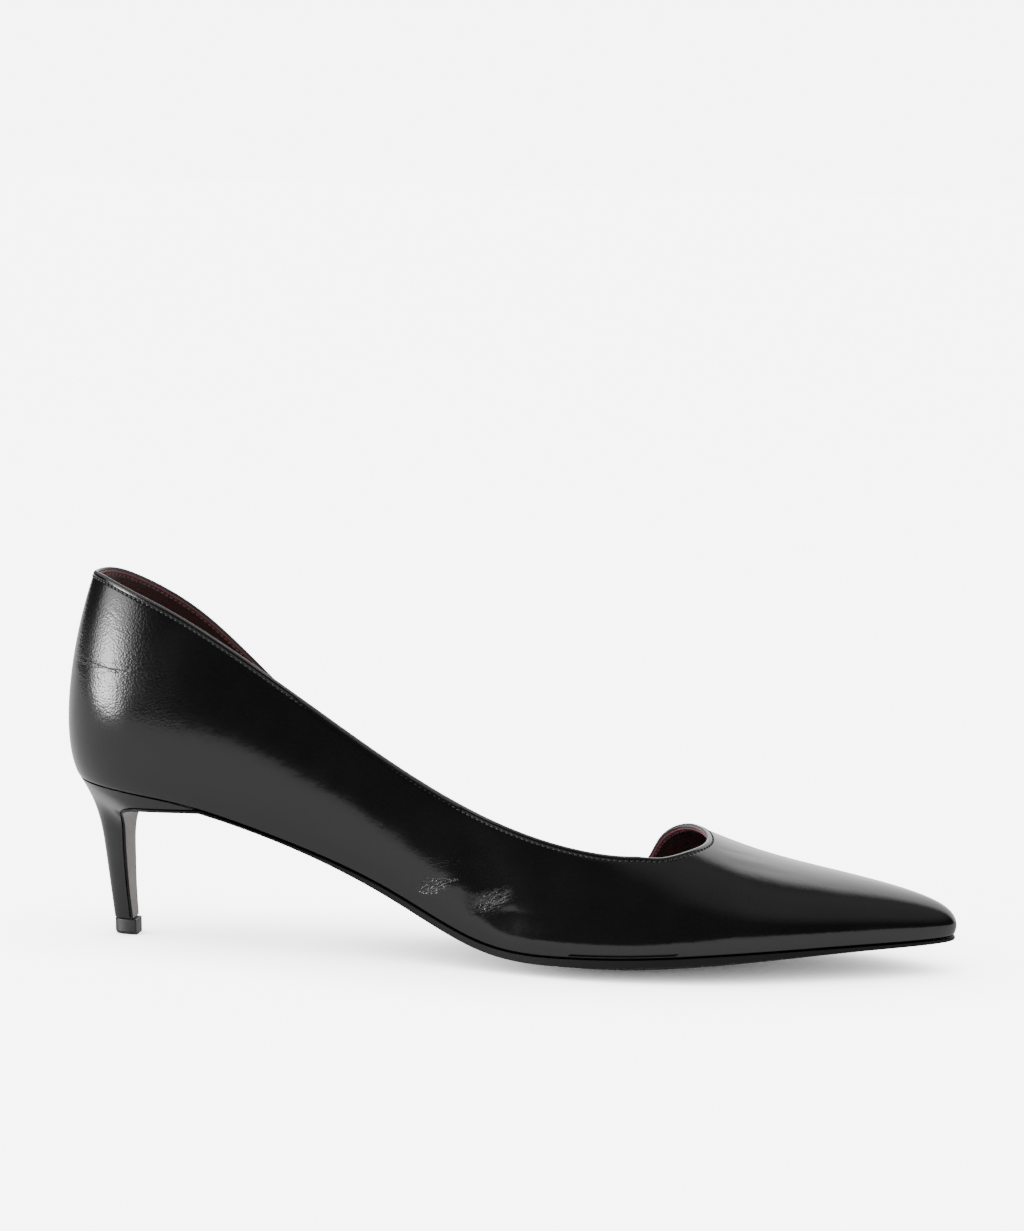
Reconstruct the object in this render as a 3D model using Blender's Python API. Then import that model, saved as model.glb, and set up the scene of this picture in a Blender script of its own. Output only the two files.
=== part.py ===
"""Black leather d'Orsay pump, right shoe, women's size EU 37.

A Blender 4.5 script. It models one empty shoe standing on its sole, from the shape of its last.
Frame: +X toward the toe, -Y the outer side, +Y the inner side, +Z up, floor at Z 0.
All sizes below are in millimetres and become metres when a mesh is made.

The last is a ring of ribs. Each rib starts on the feather edge, where the upper meets the sole,
leans out, climbs and closes over the last's top line. The ribs turn from straight back at the heel,
through square to the side, to straight forward at the toe.
"""
import math

import bmesh
import bpy
import numpy as np

MM = 0.001

# Driving dimensions
UPPER_WALL = 1.6          # outer leather and lining together
LASTING_MARGIN = 8.0      # how far the upper turns in under the foot
MARGIN_SHARE = 0.72       # but never more than this part of the way to the middle line
SEAM_GAP = 0.3            # between pieces that touch
INSOLE_THICKNESS = 1.5
INSOLE_INSET = 0.4        # insole edge to the inner wall
SOLE_OVERHANG = 0.2       # outsole edge beyond the feather edge
HEEL_INSET = 0.3          # heel seat edge inside the feather edge
FLAP_THICKNESS = 0.8      # where the sole runs down the breast of the heel
LIFT_HEIGHT = 4.6
LIFT_LENGTH = 7.0
LIFT_WIDTH = 7.4
LIFT_BACK = -116.3
COLUMN_INSET = 0.2        # heel tip inside the top lift's sides and back
COLUMN_BACK_POWER = 0.85  # how full the column's rounded back is, fore and aft and across
COLUMN_SIDE_POWER = 0.8
TREAD_THICKNESS = 2.2     # sole thickness where it stands on the floor
BOTTOM_ROUNDING = 2.6     # power of the curve across the last's bottom

# One row for each rib of the last, from the back of the heel to the tip of the toe.
# x, y      the rib's foot on the last's middle line
# turn      which way the rib faces: -90 back, 0 to the side, 90 to the toe
# outer, inner    distance from the middle line to the feather edge on each side
# feather   height of the feather edge on the outer side, arch how much higher it is inside
# dip       how far the last's bottom hangs below its feather edge in the middle
# bulge, rise     how far the wall leans out of the feather edge, and over which height
# crown     half-width of the flat of the last's top
# ridge     height of the last's top line
# top_out, top_in    height of the collar edge on each side
# sole      thickness of the outsole
RIB_COLUMNS = ("x", "y", "turn", "outer", "inner", "feather", "arch", "dip", "bulge", "rise",
               "crown", "ridge", "top_out", "top_in", "sole")
RIBS = (
    ("heel back", -106, 0.0, -90, 20.5, 20.5, 47.4, 0.0, 1.2, 11.0, 18, 13.8, 128, 107.4, 107.4, 0.8),
    ("heel corner", -104, 0.0, -50, 23.1, 23.1, 47.2, 0.0, 1.2, 10.4, 19, 16.6, 127, 107.2, 106.4, 0.8),
    ("heel side", -98, 0.0, -12, 25.4, 25.4, 45.3, 0.0, 1.2, 9.0, 20, 19.5, 125, 101.8, 97.6, 0.8),
    ("seat front", -84, 0.0, 0, 24.8, 24.2, 41.3, 0.7, 0.9, 8.5, 21, 19.5, 119, 92.4, 82.5, 0.8),
    ("waist back", -58, 0.0, 0, 22.6, 20.8, 32.4, 2.0, 0.5, 9.5, 22, 18.0, 106, 76.0, 58.0, 0.9),
    ("waist", -30, 0.0, 0, 24.0, 20.0, 20.9, 2.6, 0.6, 10.5, 22, 18.0, 90, 57.8, 35.0, 2.0),
    ("waist front", -3, 0.0, 0, 29.8, 24.0, 8.6, 2.0, 2.0, 8.0, 20, 21.0, 72, 44.1, 19.5, 2.2),
    ("outer ball", 22, 0.0, 0, 35.6, 31.6, 6.4, 0.8, 4.9, 5.5, 18, 24.0, 54, 36.8, 15.6, 2.3),
    ("inner ball", 46, 0.4, 0, 36.4, 35.6, 7.3, 0.0, 5.4, 4.0, 16, 25.0, 42.0, 34.9, 24.0, 2.3),
    ("vamp", 70, 1.2, 4, 32.4, 33.2, 9.0, 0.0, 4.0, 3.4, 13.5, 21.5, 32.7, 36.0, 34.0, 2.0),
    ("toe box", 92, 2.2, 18, 22.8, 25.0, 10.1, 0.0, 2.6, 3.0, 11, 14.5, 27.7, 28.0, 28.0, 1.4),
    ("toe side", 110, 3.0, 46, 14.6, 15.6, 10.5, 0.0, 1.4, 2.8, 8.5, 9.0, 24.2, 24.0, 24.0, 1.1),
    ("toe tip", 118, 3.4, 90, 11.3, 11.3, 10.6, 0.0, 0.9, 2.6, 6.5, 7.0, 22.2, 22.0, 22.0, 1.0),
)

# The throat, from the outer collar over the vamp to the inner collar. x is the rib's foot on the
# middle line, side how far round the rib: 0 its top, -1 the outer and 1 the inner feather edge.
THROAT = (
    # name             x     side
    ("outer corner", 47.2, -0.392),
    ("outer bend", 51.0, -0.339),
    ("outer front", 54.6, -0.259),
    ("front", 57.2, -0.172),
    ("outer of middle", 58.2, -0.086),
    ("middle", 57.6, 0.000),
    ("inner of middle", 55.9, 0.079),
    ("inner front", 53.0, 0.173),
    ("inner bend", 49.0, 0.288),
    ("inner corner", 44.8, 0.403),
    ("inner rise", 40.6, 0.531),
    ("inner drop", 36.9, 0.682),
    ("inner foot", 33.2, 0.776),
)
THROAT_OUTER_X = 41.0     # where the side collars end and the throat's curve takes over
THROAT_INNER_X = 27.0
JOIN_STEP = 6.0           # the curve also runs through a point this far back on each side collar

# How the heel narrows from its seat to the top lift. Each share runs from 0 at the seat
# to 1 at the lift: down is height, back and breast are the fore-and-aft lines, side the width.
HEEL_FRONT_X = -87.0
HEEL_ROWS = (
    # name           down   back   side   breast
    ("seat edge", 0.000, 0.000, 0.000, 0.000),
    ("tongue", 0.006, 0.015, 0.020, 0.330),
    ("tongue root", 0.014, 0.030, 0.060, 0.670),
    ("corner front", 0.034, 0.070, 0.150, 0.910),
    ("corner", 0.090, 0.165, 0.380, 1.040),
    ("corner back", 0.165, 0.295, 0.640, 1.090),
    ("cup", 0.260, 0.440, 0.800, 1.105),
    ("neck", 0.375, 0.570, 0.860, 1.108),
    ("upper column", 0.540, 0.690, 0.895, 1.096),
    ("column", 0.770, 0.830, 0.950, 1.072),
    ("heel tip", 1.000, 0.970, 1.000, 1.035),
)

# The top lift from the floor up: how far its sides, back and front stand inside or out
LIFT_ROWS = (
    # name      height   inset  back  front
    ("tread", 0.0, 0.7, 0.6, 0.3),
    ("edge", 0.8, 0.0, 0.1, 0.1),
    ("top", LIFT_HEIGHT, 0.0, 0.0, 0.0),
)

COLUMN_FRONT = LIFT_BACK + LIFT_LENGTH - FLAP_THICKNESS - SEAM_GAP
COLUMN_LENGTH = COLUMN_FRONT - LIFT_BACK - COLUMN_INSET

# Mesh density
STATIONS_UPPER = 42       # columns on each side of the upper, back to toe
ROWS_UPPER = 14           # rows from the feather edge to the collar
ACROSS_SOLE = 6           # columns from the middle line to the edge of insole and outsole
RIB_STEP_SOLE = 0.4       # ribs between two rows of the soles
FLAP_START = 0.06         # ribs between the tongues' tips and the sole's first row
HEEL_STATIONS = 13        # columns of the heel from its back to its front corner
LIFT_TURNS = 19           # points round the back of the top lift

LAST_RIB = len(RIBS) - 1
RING = 2 * LAST_RIB
TOE_CENTRE_SHARE = 0.28   # part of the front seam line that climbs the toe tip
FAN_START = 5.0           # rib from which the upper's columns fan toward the throat
FAN_CROWDING = 0.9        # how much closer those columns lie at the throat
COLLAR_STEPS = 240        # points along each side's collar line before it is shared out


def ring_spline_solve(values):
    """Second derivatives of a smooth closed curve through equally spaced values."""
    count = len(values)
    matrix = np.zeros((count, count))
    right = np.zeros((count, values.shape[1]))
    for row in range(count):
        before, after = (row - 1) % count, (row + 1) % count
        matrix[row, before] += 1.0
        matrix[row, row] += 4.0
        matrix[row, after] += 1.0
        right[row] = 6.0 * (values[before] - 2.0 * values[row] + values[after])
    return np.linalg.solve(matrix, right)


def make_ring():
    """Lay the table out as one closed ring: outer side from heel to toe, inner side back again."""
    rows = []
    for index in range(RING):
        inner = index > LAST_RIB
        row = dict(zip(RIB_COLUMNS, RIBS[RING - index if inner else index][1:]))
        heading = 180.0 - row["turn"] if inner else row["turn"]
        rows.append((
            row["x"], row["y"],
            heading + 90.0 - 360.0 * index / RING,
            row["inner"] if inner else row["outer"],
            row["feather"] + (row["arch"] if inner else 0.0),
            row["dip"], row["bulge"], row["rise"], row["crown"], row["ridge"],
            row["top_in"] if inner else row["top_out"],
            row["sole"],
            row["feather"] + 0.5 * row["arch"],
        ))
    return np.array(rows, float)


RING_NAMES = ("x", "y", "heading", "width", "feather", "dip", "bulge", "rise", "crown", "ridge",
              "top", "sole", "mid_feather")
RING_ROWS = make_ring()
RING_BENDS = ring_spline_solve(RING_ROWS)


def rib(r):
    """Values of the last at ring position r: 0 heel back, LAST_RIB toe tip, RING back again."""
    r = np.asarray(r, float)
    low = np.floor(r).astype(int)
    t = (r - low)[..., None]
    a, b = low % RING, (low + 1) % RING
    value = ((1 - t) * RING_ROWS[a] + t * RING_ROWS[b]
             + ((1 - t) ** 3 - (1 - t)) * RING_BENDS[a] / 6.0
             + (t ** 3 - t) * RING_BENDS[b] / 6.0)
    out = {name: value[..., i] for i, name in enumerate(RING_NAMES)}
    # a heading of 0 is the heel back, 180 the toe tip: the outer side lies between them
    angle = np.radians(out["heading"] + 360.0 * r / RING)
    out["dx"], out["dy"] = -np.cos(angle), -np.sin(angle)
    return out


def station_of(x):
    """Rib number, on the outer side, at which the middle line reaches x."""
    grid = np.linspace(0.0, LAST_RIB, 1201)
    return np.interp(x, rib(grid)["x"], grid)


def ridge_slope(r):
    """Slope of the last's top line at ring position r."""
    station = LAST_RIB - np.abs(np.mod(r, RING) - LAST_RIB)
    step = 0.05
    middle = np.clip(station, step, LAST_RIB - step)
    before, after = rib(middle - step), rib(middle + step)
    return (after["ridge"] - before["ridge"]) / (after["x"] - before["x"])


def rib_curve(r, climb):
    """Distance from the middle line and height at share climb of the rib at r."""
    row = rib(r)
    slope = ridge_slope(r)
    w0, z0 = row["width"], row["feather"]
    w1, z1 = w0 + row["bulge"], z0 + row["rise"]
    w2, z2 = row["crown"], row["ridge"] + slope * row["crown"] * row["dx"]
    z3 = row["ridge"]
    a, b = (1 - climb) ** 3, 3 * climb * (1 - climb) ** 2
    c, d = 3 * climb ** 2 * (1 - climb), climb ** 3
    return a * w0 + b * w1 + c * w2, a * z0 + b * z1 + c * z2 + d * z3


def last_point(r, climb):
    """Point on the side or top of the last."""
    row = rib(r)
    out, height = rib_curve(r, climb)
    return np.stack([row["x"] + out * row["dx"], row["y"] + out * row["dy"], height], -1)


def collar_climb(r):
    """Share of the rib at which the side's collar edge crosses it."""
    r = np.asarray(r, float)
    low, high = np.zeros_like(r), np.full_like(r, 0.98)
    target = rib(r)["top"]
    for _ in range(40):
        middle = 0.5 * (low + high)
        below = rib_curve(r, middle)[1] < target
        low, high = np.where(below, middle, low), np.where(below, high, middle)
    return low


def side_share(inner, x):
    """Signed share round the rib at which a side's collar crosses the rib at x."""
    station = station_of(x)
    climb = float(collar_climb(RING - station if inner else station))
    return 1.0 - climb if inner else climb - 1.0


def throat_curve():
    """Smooth line through the throat table: stations and signed shares, outer side first."""
    rows = [(x, side_share(False, x)) for x in (THROAT_OUTER_X - JOIN_STEP, THROAT_OUTER_X)]
    rows += [row[1:] for row in THROAT]
    rows += [(x, side_share(True, x)) for x in (THROAT_INNER_X, THROAT_INNER_X - JOIN_STEP)]
    knots = np.array([(station_of(x), share) for x, share in rows])
    points = signed_point(knots[:, 0], knots[:, 1])
    length = np.concatenate([[0.0], np.cumsum(np.linalg.norm(np.diff(points, axis=0), axis=1))])
    steps = np.linspace(length[1], length[-2], 2 * COLLAR_STEPS)
    return curve_through(length, knots, steps)


def signed_point(station, share):
    """Point on the last at a station and a signed share round its rib."""
    return last_point(np.where(share > 0, RING - station, station), 1.0 - np.abs(share))


def curve_through(knots, values, at):
    """Smooth open curve through values at the knots, straight at both ends."""
    count = len(knots)
    step = np.diff(knots)[:, None]
    matrix = np.eye(count)
    right = np.zeros_like(values)
    slope = np.diff(values, axis=0) / step
    for row in range(1, count - 1):
        matrix[row, row - 1] = step[row - 1, 0]
        matrix[row, row] = 2.0 * (step[row - 1, 0] + step[row, 0])
        matrix[row, row + 1] = step[row, 0]
        right[row] = 6.0 * (slope[row] - slope[row - 1])
    bends = np.linalg.solve(matrix, right)
    low = np.clip(np.searchsorted(knots, at) - 1, 0, count - 2)
    width = step[low]
    t = (at - knots[low])[:, None] / width
    return ((1 - t) * values[low] + t * values[low + 1]
            + width ** 2 / 6.0 * (((1 - t) ** 3 - (1 - t)) * bends[low] + (t ** 3 - t) * bends[low + 1]))


THROAT_LINE = throat_curve()


def collar_path(inner):
    """Stations and shares of the rib along one side's collar, heel back to the throat's middle."""
    start_x = THROAT_INNER_X if inner else THROAT_OUTER_X
    side = np.linspace(0.0, float(station_of(start_x)), COLLAR_STEPS)
    side_climb = collar_climb(RING - side if inner else side)
    middle = np.interp(0.0, THROAT_LINE[:, 1], THROAT_LINE[:, 0])
    half = THROAT_LINE[THROAT_LINE[:, 1] > 0][::-1] if inner else THROAT_LINE[THROAT_LINE[:, 1] < 0]
    corner = np.concatenate([half[1:, 0], [middle]])
    corner_climb = np.concatenate([1.0 - np.abs(half[1:, 1]), [1.0]])
    return np.concatenate([side, corner]), np.concatenate([side_climb, corner_climb])


def collar_heads(inner, feet):
    """Where the upper's columns with the given feet end on the collar: station and climb."""
    station, climb = collar_path(inner)
    points = last_point(RING - station if inner else station, climb)
    step = np.linalg.norm(np.diff(points, axis=0), axis=1)
    length = np.concatenate([[0.0], np.cumsum(step)])
    start = np.interp(FAN_START, station[:COLLAR_STEPS], length[:COLLAR_STEPS])
    fan = np.clip((feet - FAN_START) / (LAST_RIB - FAN_START), 0.0, 1.0)
    fan = (1.0 + FAN_CROWDING) * fan - FAN_CROWDING * fan ** 2
    along = start + (length[-1] - start) * fan
    plain = np.interp(feet, station[:COLLAR_STEPS], length[:COLLAR_STEPS])
    along = np.where(feet < FAN_START, plain, along)
    return np.interp(along, length, station), np.interp(along, length, climb)


def bottom_point(r, out):
    """Point on the bottom of the last, out millimetres from the middle line."""
    row = rib(r)
    middle = row["mid_feather"] - row["dip"]
    share = np.clip(out / row["width"], 0.0, 2.0)
    height = middle + (row["feather"] - middle) * share ** BOTTOM_ROUNDING
    height = np.maximum(height, TREAD_THICKNESS + SEAM_GAP)
    return np.stack([row["x"] + out * row["dx"], row["y"] + out * row["dy"], height], -1)


def upper_grid(stations, rows):
    """Outer face of the upper: columns round the shoe, rows from the feather edge to the collar."""
    foot = np.linspace(0.0, LAST_RIB, stations + 1)
    fan = np.clip((foot - FAN_START) / (LAST_RIB - FAN_START), 0.0, 1.0)
    lean = (fan * fan * (3 - 2 * fan))[:, None]
    t = np.linspace(0.0, 1.0, rows + 1)[None, :]
    rest = np.maximum((t - TOE_CENTRE_SHARE) / (1 - TOE_CENTRE_SHARE), 0.0)
    climb_share = (1 - lean) * t + lean * np.minimum(t / TOE_CENTRE_SHARE, 1.0)
    back_share = (1 - lean) * t + lean * rest
    sides = []
    for inner in (False, True):
        head, edge = collar_heads(inner, foot)
        station = foot[:, None] + (head - foot)[:, None] * back_share
        ring = RING - station if inner else station
        sides.append(last_point(ring, climb_share * edge[:, None]))
    outer_side, inner_side = sides
    ring = np.concatenate([foot, RING - foot[-2:0:-1]])
    return np.concatenate([outer_side, inner_side[-2:0:-1]], 0), ring


def grid_normals(points):
    """Outward normals of a grid whose columns close round the shoe."""
    around = np.roll(points, -1, 0) - np.roll(points, 1, 0)
    up = np.empty_like(points)
    up[:, 1:-1] = points[:, 2:] - points[:, :-2]
    up[:, 0] = points[:, 1] - points[:, 0]
    up[:, -1] = points[:, -1] - points[:, -2]
    normal = np.cross(around, up)
    return normal / np.linalg.norm(normal, axis=2, keepdims=True)


def mesh_object(name, points, faces, collection, material):
    """Make a closed, outward facing mesh object from points in millimetres."""
    mesh = bpy.data.meshes.new(name)
    mesh.from_pydata((np.asarray(points) * MM).tolist(), [], faces)
    body = bmesh.new()
    body.from_mesh(mesh)
    bmesh.ops.remove_doubles(body, verts=body.verts, dist=0.02 * MM)
    bmesh.ops.dissolve_degenerate(body, edges=body.edges, dist=0.01 * MM)
    bmesh.ops.triangulate(body, faces=body.faces)
    bmesh.ops.recalc_face_normals(body, faces=body.faces)
    body.to_mesh(mesh)
    body.free()
    mesh.shade_smooth()
    mesh.set_sharp_from_angle(angle=math.radians(40))
    piece = bpy.data.objects.new(name, mesh)
    piece.data.materials.append(material)
    collection.objects.link(piece)
    return piece


def plain_material(name, colour, roughness):
    """One plain material for one piece."""
    material = bpy.data.materials.new(name)
    material.use_nodes = True
    shader = material.node_tree.nodes["Principled BSDF"]
    shader.inputs["Base Color"].default_value = (*colour, 1.0)
    shader.inputs["Roughness"].default_value = roughness
    return material


def wrap_faces(columns, rows, close_rows=True):
    """Quads of a grid that closes round its columns, and round its rows too if asked."""
    faces = []
    for i in range(columns):
        for j in range(rows if close_rows else rows - 1):
            a, b = i * rows + j, i * rows + (j + 1) % rows
            c, d = ((i + 1) % columns) * rows + (j + 1) % rows, ((i + 1) % columns) * rows + j
            faces.append((a, d, c, b))
    return faces


def sheet_faces(rows, columns, open_start, open_end):
    """Quads of a solid between two grids of the same size, the upper one first."""
    count = rows * columns
    faces = []
    for i in range(rows - 1):
        for j in range(columns - 1):
            a, b = i * columns + j, i * columns + j + 1
            c, d = a + columns, b + columns
            faces.append((a, b, d, c))
            faces.append((count + a, count + c, count + d, count + b))
        for j in (0, columns - 1):
            a, c = i * columns + j, (i + 1) * columns + j
            faces.append((a, c, count + c, count + a))
    for i, is_open in ((0, open_start), (rows - 1, open_end)):
        if is_open:
            for j in range(columns - 1):
                a, b = i * columns + j, i * columns + j + 1
                faces.append((a, b, count + b, count + a))
    return faces


def make_upper(collection):
    """One hollow piece: wall, collar edge and the lasting margin turned in under the foot."""
    outer, ring = upper_grid(STATIONS_UPPER, ROWS_UPPER)
    inner = outer - UPPER_WALL * grid_normals(outer)
    row = rib(ring)
    margin_out = row["width"] - np.minimum(LASTING_MARGIN, MARGIN_SHARE * row["width"])
    margin = bottom_point(ring, margin_out)
    corner = bottom_point(ring, row["width"] - UPPER_WALL)
    lift = np.array([0.0, 0.0, UPPER_WALL])
    profile = [outer[:, j] for j in range(ROWS_UPPER + 1)]
    profile += [inner[:, j] for j in range(ROWS_UPPER, 0, -1)]
    profile += [corner + lift, margin + lift, margin]
    points = np.stack(profile, 1)
    faces = wrap_faces(points.shape[0], points.shape[1])
    leather = plain_material("black calf leather", (0.012, 0.012, 0.014), 0.3)
    return mesh_object("upper", points.reshape(-1, 3), faces, collection, leather)


def bottom_rows(stations, edge_offset, lift):
    """Rows of points across the last's bottom, from outer edge to inner edge, raised by lift."""
    share = np.linspace(-1.0, 1.0, 2 * ACROSS_SOLE + 1)
    rows = []
    for station in stations:
        line = []
        for k in share:
            r = RING - station if k > 0 else station
            width = float(rib(r)["width"]) + edge_offset
            line.append(bottom_point(r, abs(k) * width) + np.array([0.0, 0.0, lift]))
        rows.append(line)
    return np.array(rows, float)


def make_insole(collection):
    """The insole lies on the lasting margin inside the upper."""
    stations = np.linspace(0.0, LAST_RIB, int(LAST_RIB / RIB_STEP_SOLE) + 1)
    inset = -(UPPER_WALL + INSOLE_INSET)
    low = bottom_rows(stations, inset, UPPER_WALL + SEAM_GAP)
    high = low + np.array([0.0, 0.0, INSOLE_THICKNESS])
    points = np.concatenate([high.reshape(-1, 3), low.reshape(-1, 3)])
    faces = sheet_faces(len(stations), 2 * ACROSS_SOLE + 1, False, False)
    lining = plain_material("burgundy lining leather", (0.03, 0.008, 0.011), 0.5)
    return mesh_object("insole", points, faces, collection, lining)


def seat_row(station):
    """Points across the heel's seat at a station, from outer to inner edge."""
    return bottom_rows([station], -HEEL_INSET, -SEAM_GAP)[0]


def column_outline(turns, front, length, half):
    """Rounded back of the heel's column: turns run from -90 at the outer corner to 90 inside."""
    angle = np.radians(turns)
    x = front - length * np.cos(angle) ** COLUMN_BACK_POWER
    y = half * np.sign(turns) * np.abs(np.sin(angle)) ** COLUMN_SIDE_POWER
    return x, y


def heel_shares():
    """Rows of the heel table with a row halfway between each two."""
    table = np.array([row[1:] for row in HEEL_ROWS])
    knots = np.arange(len(table))
    at = np.linspace(0.0, knots[-1], 2 * len(table) - 1)
    return np.stack([np.interp(at, knots, column) for column in table.T], 1)


def heel_loop():
    """Points round the heel's seat, outer front corner first, and the lift points below them."""
    tip = float(station_of(HEEL_FRONT_X))
    stations = np.linspace(tip, 0.0, HEEL_STATIONS)
    edges = [seat_row(station) for station in stations]
    seat = [edge[0] for edge in edges] + [edge[-1] for edge in edges[-2::-1]]
    turns = np.concatenate([-90.0 * stations / tip, 90.0 * stations[-2::-1] / tip])
    half = 0.5 * LIFT_WIDTH - COLUMN_INSET
    x, y = column_outline(turns, COLUMN_FRONT, COLUMN_LENGTH, half)
    across = edges[0][-2:0:-1]
    reach = half / abs(edges[0][0][1])
    seat = np.concatenate([seat, across])
    x = np.concatenate([x, np.full(len(across), COLUMN_FRONT)])
    y = np.concatenate([y, np.clip(across[:, 1] * reach, -half, half)])
    foot = np.stack([x, y, np.full(len(x), LIFT_HEIGHT + SEAM_GAP)], -1)
    return seat, foot, stations


def seat_half_width(seat, x):
    """Y of the seat's edge at each x of the outer side's and the inner side's columns."""
    back, front = HEEL_STATIONS - 1, 2 * HEEL_STATIONS - 2
    outer = np.interp(-x[:back + 1], -seat[:back + 1, 0], seat[:back + 1, 1])
    inner = np.interp(-x[back + 1:front + 1], -seat[front:back:-1, 0], seat[front:back:-1, 1])
    across = seat[front + 1:, 1].copy()
    across[across > 0] *= inner[-1] / seat[front, 1]
    across[across < 0] *= outer[0] / seat[0, 1]
    return np.concatenate([outer, inner, across])


def heel_surface():
    """Rows of the heel's side and breast, from the seat down, each a closed loop."""
    seat, foot, stations = heel_loop()
    seat_back, foot_back = seat[:, 0].min(), foot[:, 0].min()
    seat_share = (seat[:, 0] - HEEL_FRONT_X) / (seat_back - HEEL_FRONT_X)
    foot_share = (foot[:, 0] - COLUMN_FRONT) / (foot_back - COLUMN_FRONT)
    rows = []
    for down, back, side, breast in heel_shares():
        front_x = HEEL_FRONT_X + (COLUMN_FRONT - HEEL_FRONT_X) * breast
        back_x = seat_back + (foot_back - seat_back) * back
        share = seat_share + (foot_share - seat_share) * side
        edge_y = seat_half_width(seat, front_x + (seat_back - front_x) * seat_share)
        rows.append(np.stack([
            front_x + (back_x - front_x) * share,
            edge_y + (foot[:, 1] - edge_y) * side,
            seat[:, 2] + (foot[:, 2] - seat[:, 2]) * down,
        ], -1))
    return np.array(rows), stations


def make_heel(collection):
    """The covered heel: a cup under the seat, side tongues and a slim column."""
    rows, stations = heel_surface()
    loop = rows.shape[1]
    points = [p for row in rows[::-1] for p in row]
    faces = []
    for j in range(len(rows) - 1):
        for i in range(loop):
            a, b = j * loop + i, j * loop + (i + 1) % loop
            faces.append((a, b, b + loop, a + loop))
    faces.append(tuple(range(loop)))
    cap_start = len(points)
    columns = 2 * ACROSS_SOLE + 1
    for station in stations:
        points.extend(seat_row(station))
    for i in range(len(stations) - 1):
        for j in range(columns - 1):
            a, b = cap_start + i * columns + j, cap_start + i * columns + j + 1
            faces.append((a, b, b + columns, a + columns))
    covering = plain_material("black heel covering", (0.012, 0.012, 0.014), 0.28)
    return mesh_object("heel", points, faces, collection, covering)


def make_outsole(collection):
    """Forepart and waist under the upper, then a thin flap down the breast of the heel."""
    tip = float(station_of(HEEL_FRONT_X))
    start = tip + FLAP_START
    stations = np.linspace(start, LAST_RIB, int((LAST_RIB - start) / RIB_STEP_SOLE) + 1)
    high = bottom_rows(stations, SOLE_OVERHANG, -SEAM_GAP)
    thickness = np.array([float(rib(s)["sole"]) for s in stations])
    low = high - np.array([0.0, 0.0, 1.0]) * thickness[:, None, None]
    low[:, :, 2] = np.maximum(low[:, :, 2], 0.0)
    breast_high, breast_low = breast_rows()
    high = np.concatenate([breast_high, high])
    low = np.concatenate([breast_low, low])
    points = np.concatenate([high.reshape(-1, 3), low.reshape(-1, 3)])
    faces = sheet_faces(len(high), 2 * ACROSS_SOLE + 1, True, False)
    sole = plain_material("black sole leather", (0.014, 0.013, 0.013), 0.45)
    return mesh_object("outsole", points, faces, collection, sole)


def breast_rows():
    """Top and bottom faces of the flap, from the top lift up to the tongues' tips."""
    rows, stations = heel_surface()
    corner = 2 * len(stations) - 2
    loop = rows.shape[1]
    order = [0] + [loop - 1 - i for i in range(loop - corner - 1)] + [corner]
    front = rows[::-1][:, order]
    along = np.gradient(front, axis=0)
    across = np.gradient(front, axis=1)
    normal = np.cross(across, along)
    normal /= np.linalg.norm(normal, axis=2, keepdims=True)
    if normal[0, ACROSS_SOLE, 0] < 0:
        normal = -normal
    high = front + normal * SEAM_GAP
    low = front + normal * (SEAM_GAP + FLAP_THICKNESS)
    keep = slice(0, len(front) - 1)
    high, low = high[keep], low[keep]
    high[0, :, 2] = LIFT_HEIGHT + SEAM_GAP
    low[0, :, 2] = LIFT_HEIGHT + SEAM_GAP
    return high, low


def make_top_lift(collection):
    """The small plastic top lift under the heel, flat on the floor."""
    turns = np.linspace(-90.0, 90.0, LIFT_TURNS)
    points = []
    for _, height, inset, back, front in LIFT_ROWS:
        start, end = LIFT_BACK + back, LIFT_BACK + LIFT_LENGTH + front
        x, y = column_outline(turns, end, end - start, 0.5 * LIFT_WIDTH - inset)
        points.extend(zip(x, y, np.full(len(x), height)))
    faces = [tuple(range(LIFT_TURNS)), tuple(range(len(points) - LIFT_TURNS, len(points)))]
    for j in range(len(LIFT_ROWS) - 1):
        for i in range(LIFT_TURNS):
            a, b = j * LIFT_TURNS + i, j * LIFT_TURNS + (i + 1) % LIFT_TURNS
            faces.append((a, b, b + LIFT_TURNS, a + LIFT_TURNS))
    plastic = plain_material("black top lift plastic", (0.015, 0.015, 0.015), 0.4)
    return mesh_object("top_lift", points, faces, collection, plastic)


def main():
    for item in list(bpy.data.objects):
        bpy.data.objects.remove(item)
    collection = bpy.data.collections.new("dorsay_pump")
    bpy.context.scene.collection.children.link(collection)
    make_upper(collection)
    make_insole(collection)
    make_outsole(collection)
    make_heel(collection)
    make_top_lift(collection)


main()
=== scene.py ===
"""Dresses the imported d'Orsay pump: leather upper with its folded collar and stitches, lining,
sock, sole, covered heel, top lift, and a plain studio.

Sizes in the shape code are millimetres in the frame's axes (+X toe, +Y inner side, +Z up) and
become metres when a mesh is made. The shoe's last is worked out from the same short tables as the
solids, so each piece lies where its solid lies.
"""
import math

import bmesh
import bpy
import numpy as np
from mathutils import Matrix, Vector


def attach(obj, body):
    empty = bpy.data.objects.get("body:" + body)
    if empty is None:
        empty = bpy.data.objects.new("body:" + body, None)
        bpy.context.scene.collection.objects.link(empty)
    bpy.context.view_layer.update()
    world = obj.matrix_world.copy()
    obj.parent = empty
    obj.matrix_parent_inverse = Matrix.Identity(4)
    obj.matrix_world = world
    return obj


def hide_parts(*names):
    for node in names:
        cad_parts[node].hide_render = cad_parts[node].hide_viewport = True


bl_info = {
    "name": "D'Orsay Pump",
    "version": (1, 0, 0),
    "blender": (4, 5, 0),
    "location": "View3D > Sidebar > Pump",
    "description": "Leather, lining, stitches, sole, heel and studio for a d'Orsay pump",
    "category": "Object",
}

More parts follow.
